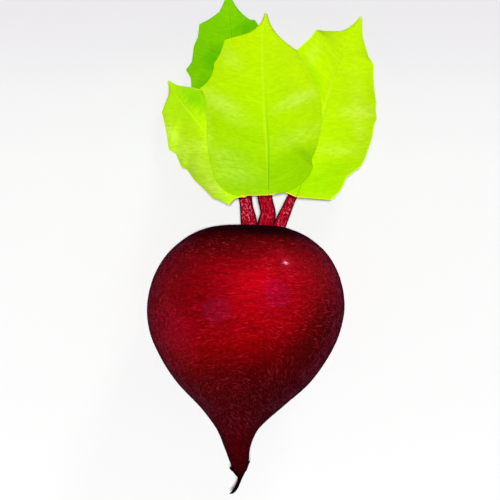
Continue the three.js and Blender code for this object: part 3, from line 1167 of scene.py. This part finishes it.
    def build(self) -> list[bpy.types.Object]:
        """Builds the root and its rootlets.

        Returns:
            The pieces.
        """
        material = RootSkin().material()
        y, radii, x, height = np.array(self.stations, dtype=float).T
        path = Curve(np.stack([x, y, AXIS_HEIGHT + height], axis=-1))
        share = np.linspace(0.0, 1.0, self.rings + 2)[1:-1]
        radius = np.maximum(Curve(radii[:, None]).at(share)[:, 0], 0.0)
        upright = smoothstep(radius, *self.turns)[:, None]
        front = unit(path.heading(share) * (1 - upright) + TAILWARD * upright)
        angle, round_about = circle(self.sides)
        lobed = 1.0 + sum(size * np.cos(count * angle + turn) for count, size, turn in self.lobes)
        centres = path.at(share)
        rings = ring_shell(centres, front, (radius[:, None] * lobed)[..., None] * round_about)

        plain = rings.reshape(-1, 3)
        outward = unit(rings - centres[:, None, :]).reshape(-1, 3)
        skin = plain + outward * self.relief(plain, np.repeat(radius, self.sides))[:, None]
        skin[:, 2] = np.maximum(skin[:, 2], 0.0)
        vertices, faces = capped(skin.reshape(rings.shape), *path.at(np.array([0.0, 1.0])))
        root = Shell(vertices, faces, self.skin_marks(vertices)).piece("root_body", material)
        put_on_body(root, Slot.ROOT_SKIN, "root")
        stubs = [rootlet.build(material) for rootlet in self.rootlets]
        for stub in stubs:
            put_on_body(stub, Slot.ROOT_SKIN)
        return [root, *stubs]


# ------------------------------------------------------------------------------- leaves


@dataclass(frozen=True)
class Vein:
    """How the side veins of a blade run: how many, how far forward to the edge, how wide and puckered."""

    count: int = 7
    forward: float = 0.2
    width: float = 0.09
    pucker: float = 0.16
    # The share of the midrib that they leave, and how far the right ones are set off the left ones.
    along: float = 0.86
    stagger: float = 0.5
    # Where they come up from the edge, the blade's foot and its tip, and the puckers from the midrib.
    from_edge: Span = (0.04, 0.3)
    from_foot: Span = (0.02, 0.12)
    from_tip: Span = (0.02, 0.15)
    from_rib: Span = (0.02, 0.3)
    # A vein's width at the midrib and what it loses to the edge, how much it fades to there, how wide
    # the dip beside it is, and the midrib's width at its tip and what it gains to its foot.
    taper: Span = (1.1, 0.7)
    fade: float = 0.6
    dip: float = 0.42
    rib: Span = (0.014, 0.012)

    def marks(
        self, share: np.ndarray, column: np.ndarray, past: np.ndarray
    ) -> tuple[np.ndarray, np.ndarray]:
        """Gives how much of a vein runs at each place, and how far the blade puckers up between veins.

        Args:
            share: The share along the blade, by row and column.
            column: The place across the blade, -1 to 1, by row and column.
            past: The share along the midrib at which a side vein to the place leaves it.

        Returns:
            The vein, 0 to 1, and the pucker, 0 to 1.
        """
        out = np.abs(column)
        phase = past * self.count / self.along + np.where(column > 0, self.stagger, 0.0)
        off = np.abs(phase - np.round(phase)) * 2
        reaches = smoothstep(1.0 - out, *self.from_edge) * smoothstep(share, *self.from_foot)
        reaches = reaches * smoothstep(1.0 - share, *self.from_tip)
        width = self.width * (self.taper[0] - self.taper[1] * out)
        vein = bell(off, width) * reaches * (1 - self.fade * out)
        pucker = (1 - bell(off, self.dip)) * reaches * smoothstep(out, *self.from_rib)
        rib = bell(out, self.rib[0] + self.rib[1] * (1 - share))
        return np.maximum(vein, rib), pucker


@dataclass(frozen=True)
class Ridges:
    """Fine ridges round a stalk: their height, how many there are, and how far and often they sway."""

    height: float
    count: int
    sway: float
    often: float
    start: float = 0.0

    def at(self, share: np.ndarray, angle: np.ndarray) -> np.ndarray:
        """Gives their height as a share of the stalk's width, by the share along it and the angle."""
        swayed = self.sway * np.sin(self.often * share[:, None] + self.start)
        return self.height * np.sin(self.count * angle[None, :] + swayed)


@dataclass
class Leaf:
    """A leaf: its stalk from the crown, and the toothed blade that the stalk carries.

    The midrib is a curve in space. The edges, seen from above, run from base to tip through
    (x, y, bow), where bow is how far the stretch to the next point bulges outwards, as a share of its
    length. fold is how far the left and right edges hang below the midrib, and wave how high the
    ripples along them are.
    """

    name: str
    crown: tuple[Point, ...]
    stalk_widths: tuple[float, ...]
    stalk_depths: tuple[float, ...]
    midrib: tuple[Point, ...]
    left: tuple[Point, ...]
    right: tuple[Point, ...]
    fold: Span
    wave: float
    ripples: int
    # How strongly the stalk is flecked.
    flecked: float = 0.4
    # How far forward the blade's fine weft runs from the midrib to the edge, as a share of its length,
    # and how much of the blade's height it keeps.
    weave: float = 0.07
    weave_height: float = 0.2
    slot: Slot = Slot.LEAF_LIME
    skin: LeafSkin = LIME_LEAF
    veins: Vein = Vein()
    # Soft patches of painted sheen and of painted shade, seen from above.
    painted_sheens: tuple[Patch, ...] = ()
    shades: tuple[Patch, ...] = ()
    thickness: float = 0.56
    rim_thickness: float = 0.34
    # The share of the blade's half over which it thins to its rim.
    rim: float = 0.25
    tip_half_width: float = 0.35
    # The midrib below: its depth, where it starts, how wide it is, and where the blade lies on it.
    rib_depth: float = 1.0
    rib_start: float = 0.18
    rib_width: float = 0.05
    rib_rests: float = 0.03
    # The midrib's groove above: its depth, its width and how it runs out to the tip.
    groove: float = 0.22
    groove_width: float = 0.022
    groove_end: Span = (0.0, 0.3)
    # How deep the side veins sink above and stand out below.
    vein_groove: float = 0.07
    vein_ridge: float = 0.12
    least_thickness: float = 0.1
    # How the fold comes up at the blade's foot and goes at its tip.
    folded: tuple[Span, Span] = ((-0.2, 0.2), (0.8, 1.2))
    # How much the columns gather at the midrib, which is also how the veins curve forward.
    gather: float = 1.25
    rows_per_stretch: int = 15
    half_columns: int = 46
    # How many points the midrib is read at where places are found along it.
    rib_steps: int = 400
    # How often neighbouring rows are blended where the blade is drawn to its solid's height.
    blends: int = 120

    # The stalk: its drop under the midrib, the shares of the midrib that its end runs under.
    stalk_drop: float = 2.2
    stalk_reach: Span = (0.08, 0.15)
    # The channel on top of it: how high its sides stand, how deep it is and how sharply it dips.
    channel: tuple[float, float, int] = (0.6, 0.45, 6)
    ridges: tuple[Ridges, ...] = (
        Ridges(0.018, 11, 2.0, 5.0),
        Ridges(0.012, 23, 3.0, 4.0, math.pi / 2),
    )
    stalk_rings: int = 150
    stalk_sides: int = 60

    def edge(self, share: np.ndarray, rightward: bool) -> np.ndarray:
        """Gives points on one edge, seen from above.

        Args:
            share: Shares 0 to 1 of the edge's stretches.
            rightward: Whether it is the right edge.

        Returns:
            X and Y of one point a row.
        """
        table = np.array(self.right if rightward else self.left, dtype=float)
        outward = 1.0 if rightward else -1.0
        along = share * (len(table) - 1)
        first = np.minimum(along.astype(int), len(table) - 2)
        t = (along - first)[:, None]
        start, end = table[first, :2], table[first + 1, :2]
        run = end - start
        away = np.stack([run[:, 1], -run[:, 0]], axis=-1) * (2 * table[first, 2] * outward)[:, None]
        middle = (start + end) / 2 + away
        return (1 - t) ** 2 * start + 2 * t * (1 - t) * middle + t**2 * end

    def plan(self, share: np.ndarray, column: np.ndarray) -> tuple[np.ndarray, np.ndarray]:
        """Lays out the blade's grid, seen from above.

        Args:
            share: The share along the blade of each row.
            column: The place across the blade, -1 to 1, by row and column.

        Returns:
            X and Y of each place, and how far its edge is from the midrib, by row and column.
        """
        midrib = Curve(self.midrib)
        rib = midrib.at(share)[:, None, :2]
        side = unit(np.cross(midrib.heading(share), UP))[:, None, :2]
        right, left = (self.edge(share, rightward)[:, None] for rightward in (True, False))
        edge = np.where((column >= 0)[..., None], right, left)
        out = np.abs(column)[..., None]
        spread = column * self.tip_half_width * (1 - np.sin(np.pi * share) ** 2)[:, None]
        plan = rib * (1 - out) + edge * out + side * spread[..., None]
        return plan, np.linalg.norm(edge - rib, axis=-1)

    def lie(self, plan: np.ndarray) -> tuple[np.ndarray, np.ndarray, np.ndarray]:
        """Gives where places lie on the leaf, all seen from above.

        Args:
            plan: X and Y of each place.

        Returns:
            How far each place lies along the midrib, as a share of it; how far to the right of it, in
            millimetres; and the midrib's height there.
        """
        rib = Curve(self.midrib).at(np.linspace(0.0, 1.0, self.rib_steps))
        ahead = unit(rib[-1, :2] - rib[0, :2])
        turned = np.stack([ahead, [ahead[1], -ahead[0]]], axis=-1)
        rib_along, rib_right = ((rib[:, :2] - rib[0, :2]) @ turned).T
        spots = (plan - rib[0, :2]) @ turned
        along, right = spots[..., 0], spots[..., 1]
        right = right - np.interp(along, rib_along, rib_right)
        return along / rib_along[-1], right, np.interp(along, rib_along, rib[:, 2])

    def sag(self, along: np.ndarray, rightward: np.ndarray) -> tuple[np.ndarray, np.ndarray]:
        """Gives the fold and the ripple of the blade's edges, in millimetres, at places on it.

        Args:
            along: The share along the blade, by row and column.
            rightward: Whether the place is on the right half.

        Returns:
            How far the fold hangs down and how far the ripple stands up.
        """
        fold = np.where(rightward, self.fold[1], self.fold[0])
        turned = np.where(rightward, 0.0, np.pi / 2)
        return fold, self.wave * np.sin(2 * np.pi * self.ripples * along + turned)

    def height(self, share: np.ndarray, column: np.ndarray, plan: np.ndarray) -> np.ndarray:
        """Gives the blade's height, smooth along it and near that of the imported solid.

        Args:
            share: The share along the blade, by row and column.
            column: The place across the blade, -1 to 1, by row and column.
            plan: X and Y of each place.

        Returns:
            Heights in millimetres, by row and column.
        """
        along, right, level = self.lie(plan)
        fold, ripple = self.sag(along, right >= 0)
        ripple = ripple * np.sin(np.pi * np.clip(along, 0.0, 1.0)) ** 2
        reach = reached(right)
        draped = level - (fold * window(along, *self.folded) - ripple) * reach**2
        fold, ripple = self.sag(share, column >= 0)
        rib = Curve(self.midrib).at(share[:, 0])[:, None, 2]
        solid = rib - (fold - ripple) * np.sin(np.pi * share) ** 2 * column**2
        lowest = self.thickness / 2 + self.rib_relief(share) * (np.abs(column) < self.rib_rests)
        return np.maximum(draped + softened(solid - draped, self.blends), lowest)

    def rib_relief(self, share: np.ndarray) -> np.ndarray:
        """Gives how deep the midrib stands out of the underside at shares of it."""
        return self.rib_depth * smoothstep(share, self.rib_start / 2, self.rib_start) * (1 - share)

    def skins(
        self, share: np.ndarray, out: np.ndarray, middle: np.ndarray, vein: np.ndarray
    ) -> tuple[np.ndarray, np.ndarray]:
        """Gives the blade's two skins.

        Args:
            share: The share along the blade, by row and column.
            out: The place across it, 0 at the midrib to 1 at the edge, by row and column.
            middle: Points midway between the skins, by row and column.
            vein: How much of a vein runs there, 0 to 1.

        Returns:
            The upper and the lower skin's points, by row and column.
        """
        normal = unit(np.cross(np.gradient(middle, axis=1), np.gradient(middle, axis=0)))
        inner = smoothstep(1 - out, 0.0, self.rim)
        half = (self.rim_thickness + (self.thickness - self.rim_thickness) * inner) / 2
        groove = self.groove * bell(out, self.groove_width) * smoothstep(1 - share, *self.groove_end)
        groove = groove + self.vein_groove * vein
        keel = self.rib_relief(share) * bell(out, self.rib_width) + self.vein_ridge * vein
        upper = middle + normal * (half - groove)[..., None]
        lower = middle - normal * (half + keel)[..., None]
        lower[..., 2] = np.maximum(lower[..., 2], 0.0)
        upper[..., 2] = np.maximum(upper[..., 2], lower[..., 2] + self.least_thickness)
        return upper, lower

    def blade(self) -> Shell:
        """Builds the blade as two skins with a rim, finer at the midrib and the edges.

        Returns:
            The blade's shell, with the marks that its material reads.
        """
        rows = np.linspace(0.0, 1.0, (len(self.left) - 1) * self.rows_per_stretch + 1)
        half = np.linspace(0.0, 1.0, self.half_columns + 1) ** self.gather
        columns = np.concatenate([-half[:0:-1], half])
        share, column = np.meshgrid(rows, columns, indexing="ij")
        out = np.abs(column)
        plan, half_width = self.plan(rows, column)
        along, right, _ = self.lie(plan)
        swept = reached(right) ** self.gather
        vein, pucker = self.veins.marks(share, column, along - self.veins.forward * swept)
        height = self.height(share, column, plan) + self.veins.pucker * pucker
        middle = np.concatenate([plan, height[..., None]], axis=-1)
        upper, lower = self.skins(share, out, middle, vein)
        vertices = np.vstack([upper.reshape(-1, 3), lower.reshape(-1, 3)])

        spots = middle.reshape(-1, 3)
        painted_sheen = np.max([patch.at(spots) for patch in self.painted_sheens], axis=0)
        shade = np.max([patch.at(spots) for patch in self.shades], axis=0)
        brink = (1 - out) * half_width * MM
        length = np.linalg.norm(np.diff(Curve(self.midrib).at(rows), axis=0), axis=1).sum()
        past = (along - self.weave * swept) * length
        marks = {
            "blade": np.stack([share, column, vein], axis=-1).reshape(-1, 3),
            "painted_sheen": np.stack([painted_sheen, shade, brink.ravel()], axis=-1),
            "weft": np.stack([right, past, height * self.weave_height], axis=-1).reshape(-1, 3) * MM,
        }
        marks = {mark: np.vstack([numbers, numbers]) for mark, numbers in marks.items()}
        return Shell(vertices, two_sided(len(rows), len(columns)), marks)

    def stalk(self) -> Shell:
        """Builds the stalk, round below and with a shallow channel above.

        Returns:
            The stalk's shell, with the marks that its material reads.
        """
        under = Curve(self.midrib).at(np.array(self.stalk_reach)) - UP * self.stalk_drop
        path = Curve(np.vstack([np.array(self.crown), under]))
        width = Curve(np.array(self.stalk_widths)[:, None])
        depth = Curve(np.array(self.stalk_depths)[:, None])
        share = np.linspace(0.0, 1.0, self.stalk_rings)
        angle, round_about = circle(self.stalk_sides)
        rise, dip, sharp = self.channel
        to_side, to_top = round_about.T
        to_top = np.where(to_top > 0, rise * to_top - dip * to_top**sharp, to_top)
        grain = 1.0 + sum(ridges.at(share, angle) for ridges in self.ridges)
        across = width.at(share) / 2 * to_side * grain
        above = depth.at(share) / 2 * to_top * grain
        centres = path.at(share)
        rings = ring_shell(centres, path.heading(share), np.stack([across, above], axis=-1))
        vertices, faces = capped(rings, centres[0], centres[-1])
        around = np.broadcast_arrays(share[:, None], to_side, self.flecked)
        around = np.stack(around, axis=-1).reshape(-1, 3)
        ends = np.array([[0.0, 0.0, 0.0], [1.0, 0.0, 0.0]])
        return Shell(vertices, faces, {"stalk": np.vstack([around, ends])})

    def build(self, stalk_skin: bpy.types.Material) -> list[bpy.types.Object]:
        """Builds the leaf's two pieces.

        Args:
            stalk_skin: The stalk's material.

        Returns:
            The pieces.
        """
        stalk = self.stalk().piece(f"stalk_skin_{self.name}", stalk_skin)
        put_on_body(stalk, Slot.STALK, f"stalk_{self.name}")
        blade = self.blade().piece(f"blade_{self.name}", self.skin.material())
        put_on_body(blade, self.slot, f"leaf_{self.name}")
        stalk.visible_glossy = False
        blade.visible_glossy = False
        return [stalk, blade]


def reached(right: np.ndarray) -> np.ndarray:
    """Gives how far out places lie from the midrib, as a share of the farthest on their side."""
    return np.abs(right) / np.where(right >= 0, right.max(), -right.min())


def two_sided(rows: int, columns: int) -> Faces:
    """Lists the faces of two grids of vertices, one below the other, with a rim between them.

    Args:
        rows: How many rows of vertices each grid has.
        columns: How many vertices a row holds.

    Returns:
        Faces of four vertices each: the upper grid's, the lower grid's and the rim's.
    """
    below = rows * columns
    top = grid_faces(rows, columns, wraps=False)
    bottom = [tuple(below + k for k in reversed(face)) for face in top]
    last = rows - 1
    rim = list(range(0, columns - 1))
    rim += [row * columns + columns - 1 for row in range(last)]
    rim += [last * columns + column for column in range(columns - 1, 0, -1)]
    rim += [row * columns for row in range(last, 0, -1)]
    skirt = [(a, below + a, below + b, b) for a, b in zip(rim, rim[1:] + rim[:1])]
    return top + bottom + skirt


LEAVES = (
    Leaf(
        name="middle",
        flecked=0.14,
        crown=(
            (7.2, 24.5, 38), (7.5, 29.5, 38.3), (8.2, 33.8, 38.8), (7.1, 39.8, 39.7),
        ),
        stalk_widths=(6.4, 5.9, 5.2, 5.2, 2),
        stalk_depths=(4.4, 4.2, 3.8, 3, 1.8),
        midrib=(
            (8.4, 40, 42.3), (8.2, 55.9, 43.6), (7.3, 70.2, 41.2), (6.8, 84.6, 36),
            (6.6, 99.2, 28), (7.5, 105.2, 24),
        ),
        left=(
            (8.4, 39.8, 0), (-1.8, 39.6, 0.04), (-6.6, 41.3, 0.1), (-11.9, 50.6, 0.04),
            (-13.5, 64.9, 0), (-14.1, 74.1, -0.06), (-16.1, 78.1, -0.14), (-10.9, 87.1, -0.06),
            (-7.1, 95.5, -0.12), (2.5, 97.8, -0.1), (7.5, 105.2, 0),
        ),
        right=(
            (8.4, 39.8, 0), (13.5, 40.8, 0.05), (19.2, 43.7, 0.1), (24, 49.9, -0.08),
            (23.9, 53.2, 0.04), (26.6, 61.4, 0.04), (27.4, 69.7, 0), (26.7, 75.5, 0.02),
            (18.3, 91.9, -0.04), (11.5, 97.1, -0.06), (7.5, 105.2, 0),
        ),
        fold=(5, 5),
        wave=0.9,
        ripples=3,
        painted_sheens=(
            Patch(-7.6, 71.5, 7.5, 2.8, -36, 0.55),
            Patch(18.7, 74.2, 6.2, 2.0, 24, 0.85),
            Patch(18.7, 60.8, 8.0, 2.4, 22, 0.35),
            Patch(-6.7, 52.4, 5.5, 3.4, -30, 0.45),
            Patch(-5.0, 49.5, 8.5, 6.0, -35, 0.32),
            Patch(-4.9, 88.4, 4.5, 2.5, -50, 0.3),
            Patch(-13.5, 62.0, 10.0, 1.6, 93, 0.35),
        ),
        shades=(
            Patch(18.5, 48.6, 15.0, 8.2, 20, 1.0, 3.0),
            Patch(-2.0, 61.0, 12.0, 4.6, -22, 0.45),
            Patch(0.5, 44.5, 10.5, 4.4, 0, 1.0, 2.0),
            Patch(-3.5, 51.5, 11.0, 7.0, -30, 0.8),
        ),
    ),
    Leaf(
        name="right",
        flecked=0.50,
        crown=(
            (10.6, 24.5, 33), (12.4, 29.2, 33), (14.5, 34, 33), (16.8, 39.2, 32.8),
        ),
        stalk_widths=(4.8, 4.4, 3.6, 2.9, 1.6),
        stalk_depths=(4, 3.8, 3.2, 2.6, 1.6),
        midrib=(
            (18.4, 39.3, 35), (23.2, 53.9, 33.5), (27.9, 68.5, 28), (31.8, 80.8, 20),
            (35.9, 92.8, 10.5), (42.1, 105, 0.6),
        ),
        left=(
            (18.4, 39.2, 0), (13.6, 41.2, 0.06), (10.7, 49.7, 0.04), (7.5, 56.1, -0.06),
            (8.2, 66.9, 0.02), (6.1, 74.2, -0.08), (9.7, 81.4, 0.02), (13.7, 88, 0),
            (22.3, 95.7, -0.04), (25.7, 99.8, 0), (27.6, 99.6, -0.02), (35.3, 99.4, -0.08),
            (42.1, 105, 0),
        ),
        right=(
            (18.4, 39.2, 0), (30.4, 38.3, 0.02), (33.7, 41.4, 0.02), (36.3, 46.5, 0),
            (41.3, 50.1, 0.05), (44, 56.1, 0.04), (46.3, 64.3, -0.04), (47.4, 67.5, -0.04),
            (47.3, 73.4, -0.03), (46.4, 87.7, 0), (44.6, 89.9, 0), (42.4, 97.2, 0), (42.1, 105, 0),
        ),
        fold=(2, 6),
        wave=0.9,
        ripples=4,
        weave=0.12,
        skin=BRIGHT_LEAF,
        painted_sheens=(
            Patch(40.5, 68.0, 13.0, 2.2, 93, 0.28),
            Patch(41.0, 69.7, 5.2, 2.1, 2, 0.85),
            Patch(33.6, 56.2, 6.8, 1.9, 0, 0.5),
            Patch(24.5, 91.0, 4.0, 2.0, 70, 0.3),
        ),
        shades=(
            Patch(22.6, 83.5, 8.5, 2.7, -63, 0.75, 1.5),
            Patch(31.4, 48.5, 9.0, 4.0, 20, 0.8),
            Patch(26.0, 44.5, 10.0, 5.0, 0, 0.9),
        ),
    ),
    Leaf(
        name="left",
        flecked=0.58,
        crown=(
            (1.7, 24.5, 33.4), (1.5, 29.5, 33.4), (0.8, 34.2, 33.4), (-0.2, 39, 33),
        ),
        stalk_widths=(6.3, 5.8, 4.5, 3.5, 1.8),
        stalk_depths=(4.2, 4, 3.4, 2.8, 1.8),
        midrib=(
            (0.2, 39.3, 35.8), (-6.8, 50.6, 32), (-13.5, 62, 25), (-18.9, 69.2, 17.5),
            (-23.7, 75.1, 9.5), (-27.8, 81.6, 0.8),
        ),
        left=(
            (0.2, 39.3, -0.17), (-5.3, 36.6, 0), (-8.4, 38.1, 0), (-11.4, 39.2, 0), (-14.3, 42.1, 0),
            (-18.2, 45.7, 0), (-20.9, 49.5, 0), (-22.8, 50.3, 0), (-24.9, 55.3, 0),
            (-27.4, 56.9, -0.02), (-29.9, 70.4, 0), (-27.4, 76.5, -0.06), (-27.8, 81.6, 0),
        ),
        right=(
            (0.2, 39.3, 0), (2.7, 41.8, 0.06), (4.5, 46.1, 0.04), (5.2, 52, 0.03),
            (4.6, 59, -0.06), (3.9, 66.6, -0.08), (-2.5, 70.8, 0), (-7.4, 73.4, -0.06),
            (-10.6, 77.3, -0.06), (-16.1, 78.1, 0), (-20.1, 79.1, 0), (-23.8, 79.6, -0.05),
            (-27.8, 81.6, 0),
        ),
        fold=(12, -2),
        wave=0.8,
        ripples=3,
        weave=0.2,
        skin=PALE_LEAF,
        painted_sheens=(
            Patch(-19.5, 57.3, 6.5, 2.1, 3, 0.75),
            Patch(-12.0, 43.5, 7.0, 3.6, -45, 1.0),
            Patch(-16.0, 49.5, 8.0, 4.0, -50, 0.6),
            Patch(-25.0, 59.5, 11.0, 2.6, -60, 0.75),
        ),
        shades=(
            Patch(-17.5, 75.0, 7.0, 4.6, -20, 0.85),
            Patch(-22.5, 72.0, 6.0, 4.0, -40, 0.25),
        ),
    ),
    Leaf(
        name="back",
        crown=(
            (1.9, 24.5, 26.8), (1.6, 29.6, 26.2), (0.9, 34.6, 23.6), (0.4, 40.4, 18.6),
        ),
        stalk_widths=(5, 4.8, 4.2, 3.6, 1.8),
        stalk_depths=(4, 3.8, 3.4, 2.8, 1.8),
        midrib=(
            (0.7, 45.6, 17.4), (-1, 60.5, 9.6), (-2.7, 75.8, 4), (-4.1, 89.1, 2),
            (-5.3, 101.3, 1.6), (-6.4, 114.8, 0.6),
        ),
        left=(
            (0.7, 45.6, 0), (-8.1, 49.4, 0.08), (-15.2, 56.8, -0.05), (-17.6, 65.6, 0),
            (-20.9, 71.8, -0.06), (-19.7, 82.7, -0.02), (-21.5, 85.8, -0.02), (-19.3, 88.7, 0),
            (-18.5, 94.4, 0), (-17, 97.6, 0), (-16.3, 102.4, -0.04), (-9.1, 106.8, -0.06),
            (-6.4, 114.8, 0),
        ),
        right=(
            (0.7, 45.6, 0), (8.5, 50.3, 0.08), (13.2, 57.6, -0.05), (13.5, 65.6, 0),
            (16.6, 72.9, -0.08), (13.8, 80.9, 0), (15.2, 88.2, -0.08), (10, 95.1, 0),
            (4.7, 102, 0), (3.4, 103.8, 0), (1.4, 104, -0.04), (-3.1, 108.1, -0.04),
            (-6.4, 114.8, 0),
        ),
        fold=(1.5, 1.5),
        wave=0.7,
        ripples=4,
        slot=Slot.LEAF_GREEN,
        skin=GREEN_LEAF,
        painted_sheens=(
            Patch(-12.5, 96.5, 5.0, 1.9, -12, 0.15),
            Patch(-18.6, 84.0, 3.5, 3.5, 0, 0.5),
            Patch(-6.0, 106.5, 5.5, 2.2, 95, 0.45),
        ),
        shades=(
            Patch(-10.6, 89.8, 5.2, 4.4, 60, 0.9, 2.0),
            Patch(0.8, 101.0, 5.0, 3.0, 25, 0.9),
            Patch(-14.5, 80.5, 4.0, 3.0, 0, 0.5),
        ),
    ),
)


@dataclass
class Tops:
    """The beetroot's four leaves."""

    leaves: tuple[Leaf, ...] = LEAVES

    def build(self) -> list[bpy.types.Object]:
        """Builds every leaf.

        Returns:
            The pieces.
        """
        stalk_skin = StalkSkin().material()
        made = []
        for leaf in self.leaves:
            made += leaf.build(stalk_skin)
        return made


# ------------------------------------------------------------------------------- studio


@dataclass(frozen=True)
class Sun:
    """A far light: its strength, its turn from straight down and how wide it looks, both in degrees."""

    name: str
    strength: float
    tilt: Point
    width: float

    def hang(self) -> None:
        """Hangs the light, which no reflection shows."""
        light = bpy.data.lights.new(self.name, "SUN")
        light.energy = self.strength
        light.angle = math.radians(self.width)
        sun = in_scene(self.name, light)
        sun.rotation_euler = [math.radians(turn) for turn in self.tilt]
        sun.visible_glossy = False


@dataclass(frozen=True)
class Lamp:
    """A round lamp, 1 m from the root's middle, that shows only as a reflection.

    It has the direction in which it hangs, how bright its face is, as a colour, and its width in metres.
    """

    name: str
    towards: Point
    radiance: Colour
    width: float

    def hang(self) -> None:
        """Hangs the lamp, with its face to the root's middle."""
        light = bpy.data.lights.new(self.name, "AREA")
        light.shape = "DISK"
        light.size = self.width
        most = max(self.radiance)
        light.color = [part / most for part in self.radiance]
        light.energy = most * math.pi * math.pi * (self.width / 2) ** 2
        lamp = in_scene(self.name, light)
        way = Vector(self.towards).normalized()
        lamp.location = Vector((0.0, 0.0, AXIS_HEIGHT * MM)) + way
        lamp.rotation_euler = way.to_track_quat("Z", "Y").to_euler()
        lamp.visible_camera = False
        lamp.visible_diffuse = False


@dataclass
class Studio:
    """A pale floor, soft light from above, and a long lens that looks straight down."""

    # What the camera looks at, and how much it sees there, both in millimetres; its lens and sensor.
    aim: Point = (1.786, 20.357, 33.8)
    view_width: float = 178.571
    lens: float = 400.0
    sensor: float = 36.0
    # The floor's width in metres, and how far it lies under the flat spot, in millimetres.
    floor_size: float = 8.0
    floor_sunk: float = 0.05
    floor_colour: Colour = (0.60, 0.60, 0.60)
    # How much paler or darker the floor is, by the place along Y in millimetres: a painted falloff of the
    # light, darker towards +Y.
    floor_fade: tuple[tuple[float, Colour], ...] = (
        (-67.0, (1.0, 1.0, 1.0)),
        (-23.0, (0.975, 0.975, 0.975)),
        (35.0, (0.957, 0.957, 0.957)),
        (50.0, (0.950, 0.950, 0.950)),
        (64.0, (0.925, 0.925, 0.927)),
        (78.0, (0.905, 0.903, 0.912)),
        (93.0, (0.863, 0.850, 0.872)),
        (107.0, (0.835, 0.818, 0.845)),
    )
    suns: tuple[Sun, ...] = (
        Sun("overhead", 4.75, (0.0, 0.0, 0.0), 2.5),
        Sun("slanting", 0.43, (61.0, 0.0, 155.0), 14.0),
    )
    # Each soft lamp is hung once for each width, which softens its reflection's edge.
    soft_widths: tuple[float, ...] = (0.48, 0.52, 0.56, 0.60)
    soft_lamps: tuple[Lamp, ...] = (
        Lamp("round_left", (-0.54, 0.0, 0.843), (0.42, 0.11, 0.56), 0.48),
        Lamp("round_right", (0.577, 0.262, 0.775), (0.30, 0.045, 0.72), 0.48),
    )
    sparkle: Lamp = Lamp("sparkle", (0.614, 0.773, 0.161), (58.0, 24.0, 37.0), 0.07)
    # The room as the camera sees it, as it lights the beetroot, and as reflections show it.
    room_seen: Colour = (0.86, 0.86, 0.87)
    room_given: Colour = (0.10, 0.10, 0.10)
    room_shine: Colour = (0.030, 0.004, 0.010)

    def floor(self) -> None:
        """Lays the floor."""
        half, level = self.floor_size / 2, -self.floor_sunk * MM
        corners = [(-half, -half, level), (half, -half, level), (half, half, level), (-half, half, level)]
        mesh = bpy.data.meshes.new("floor")
        mesh.from_pydata(corners, [], [(0, 1, 2, 3)])
        paint = Paint(bpy.data.materials.new("floor_pale"))
        along = paint.split(paint.spot())[1] / MM
        tone = paint.times(self.floor_colour, paint.bands(along, self.floor_fade))
        sockets = {"Base Color": tone, "Roughness": 0.9, "Specular IOR Level": 0.0}
        mesh.materials.append(paint.finish(sockets))
        plane = in_scene("floor", mesh)
        plane.visible_glossy = False

    def world(self) -> None:
        """Fills the room with a weak light, weaker in reflections, and shows it pale behind the floor."""
        paint = Paint(bpy.data.worlds.new("room"))
        rays = paint.node("ShaderNodeLightPath", {}, {}).outputs
        seen, shine = Value(paint, rays["Is Camera Ray"]), Value(paint, rays["Is Glossy Ray"])
        tone = paint.mix(shine, self.room_given, self.room_shine)
        tone = paint.mix(seen, tone, self.room_seen)
        light = paint.value("ShaderNodeBackground", {}, {"Color": tone})
        paint.node("ShaderNodeOutputWorld", {}, {"Surface": light})
        bpy.context.scene.world = paint.owner

    def lights(self) -> None:
        """Hangs the suns and the lamps."""
        for sun in self.suns:
            sun.hang()
        for number, width in enumerate(self.soft_widths, start=1):
            for lamp in self.soft_lamps:
                replace(lamp, name=f"{lamp.name}_{number}", width=width).hang()
        self.sparkle.hang()

    def camera(self) -> None:
        """Sets the camera straight above the beetroot, with the leaves at the top of its view."""
        data = bpy.data.cameras.new("camera")
        data.lens, data.sensor_width = self.lens, self.sensor
        camera = in_scene("camera", data)
        x, y, z = (part * MM for part in self.aim)
        camera.location = (x, y, z + self.view_width * MM * self.lens / self.sensor)
        bpy.context.scene.camera = camera

    def build(self) -> None:
        """Sets up the whole studio."""
        bpy.context.scene.view_settings.view_transform = "Standard"
        self.floor()
        self.world()
        self.lights()
        self.camera()


def main() -> None:
    """Builds the beetroot and its studio, and reports every piece."""
    logging.basicConfig(level=logging.INFO, format="%(name)s: %(message)s")
    Studio().build()
    pieces = Root().build() + Tops().build()
    LOG.info("%d pieces", len(pieces))
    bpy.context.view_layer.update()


if __name__ == "__main__":
    main()
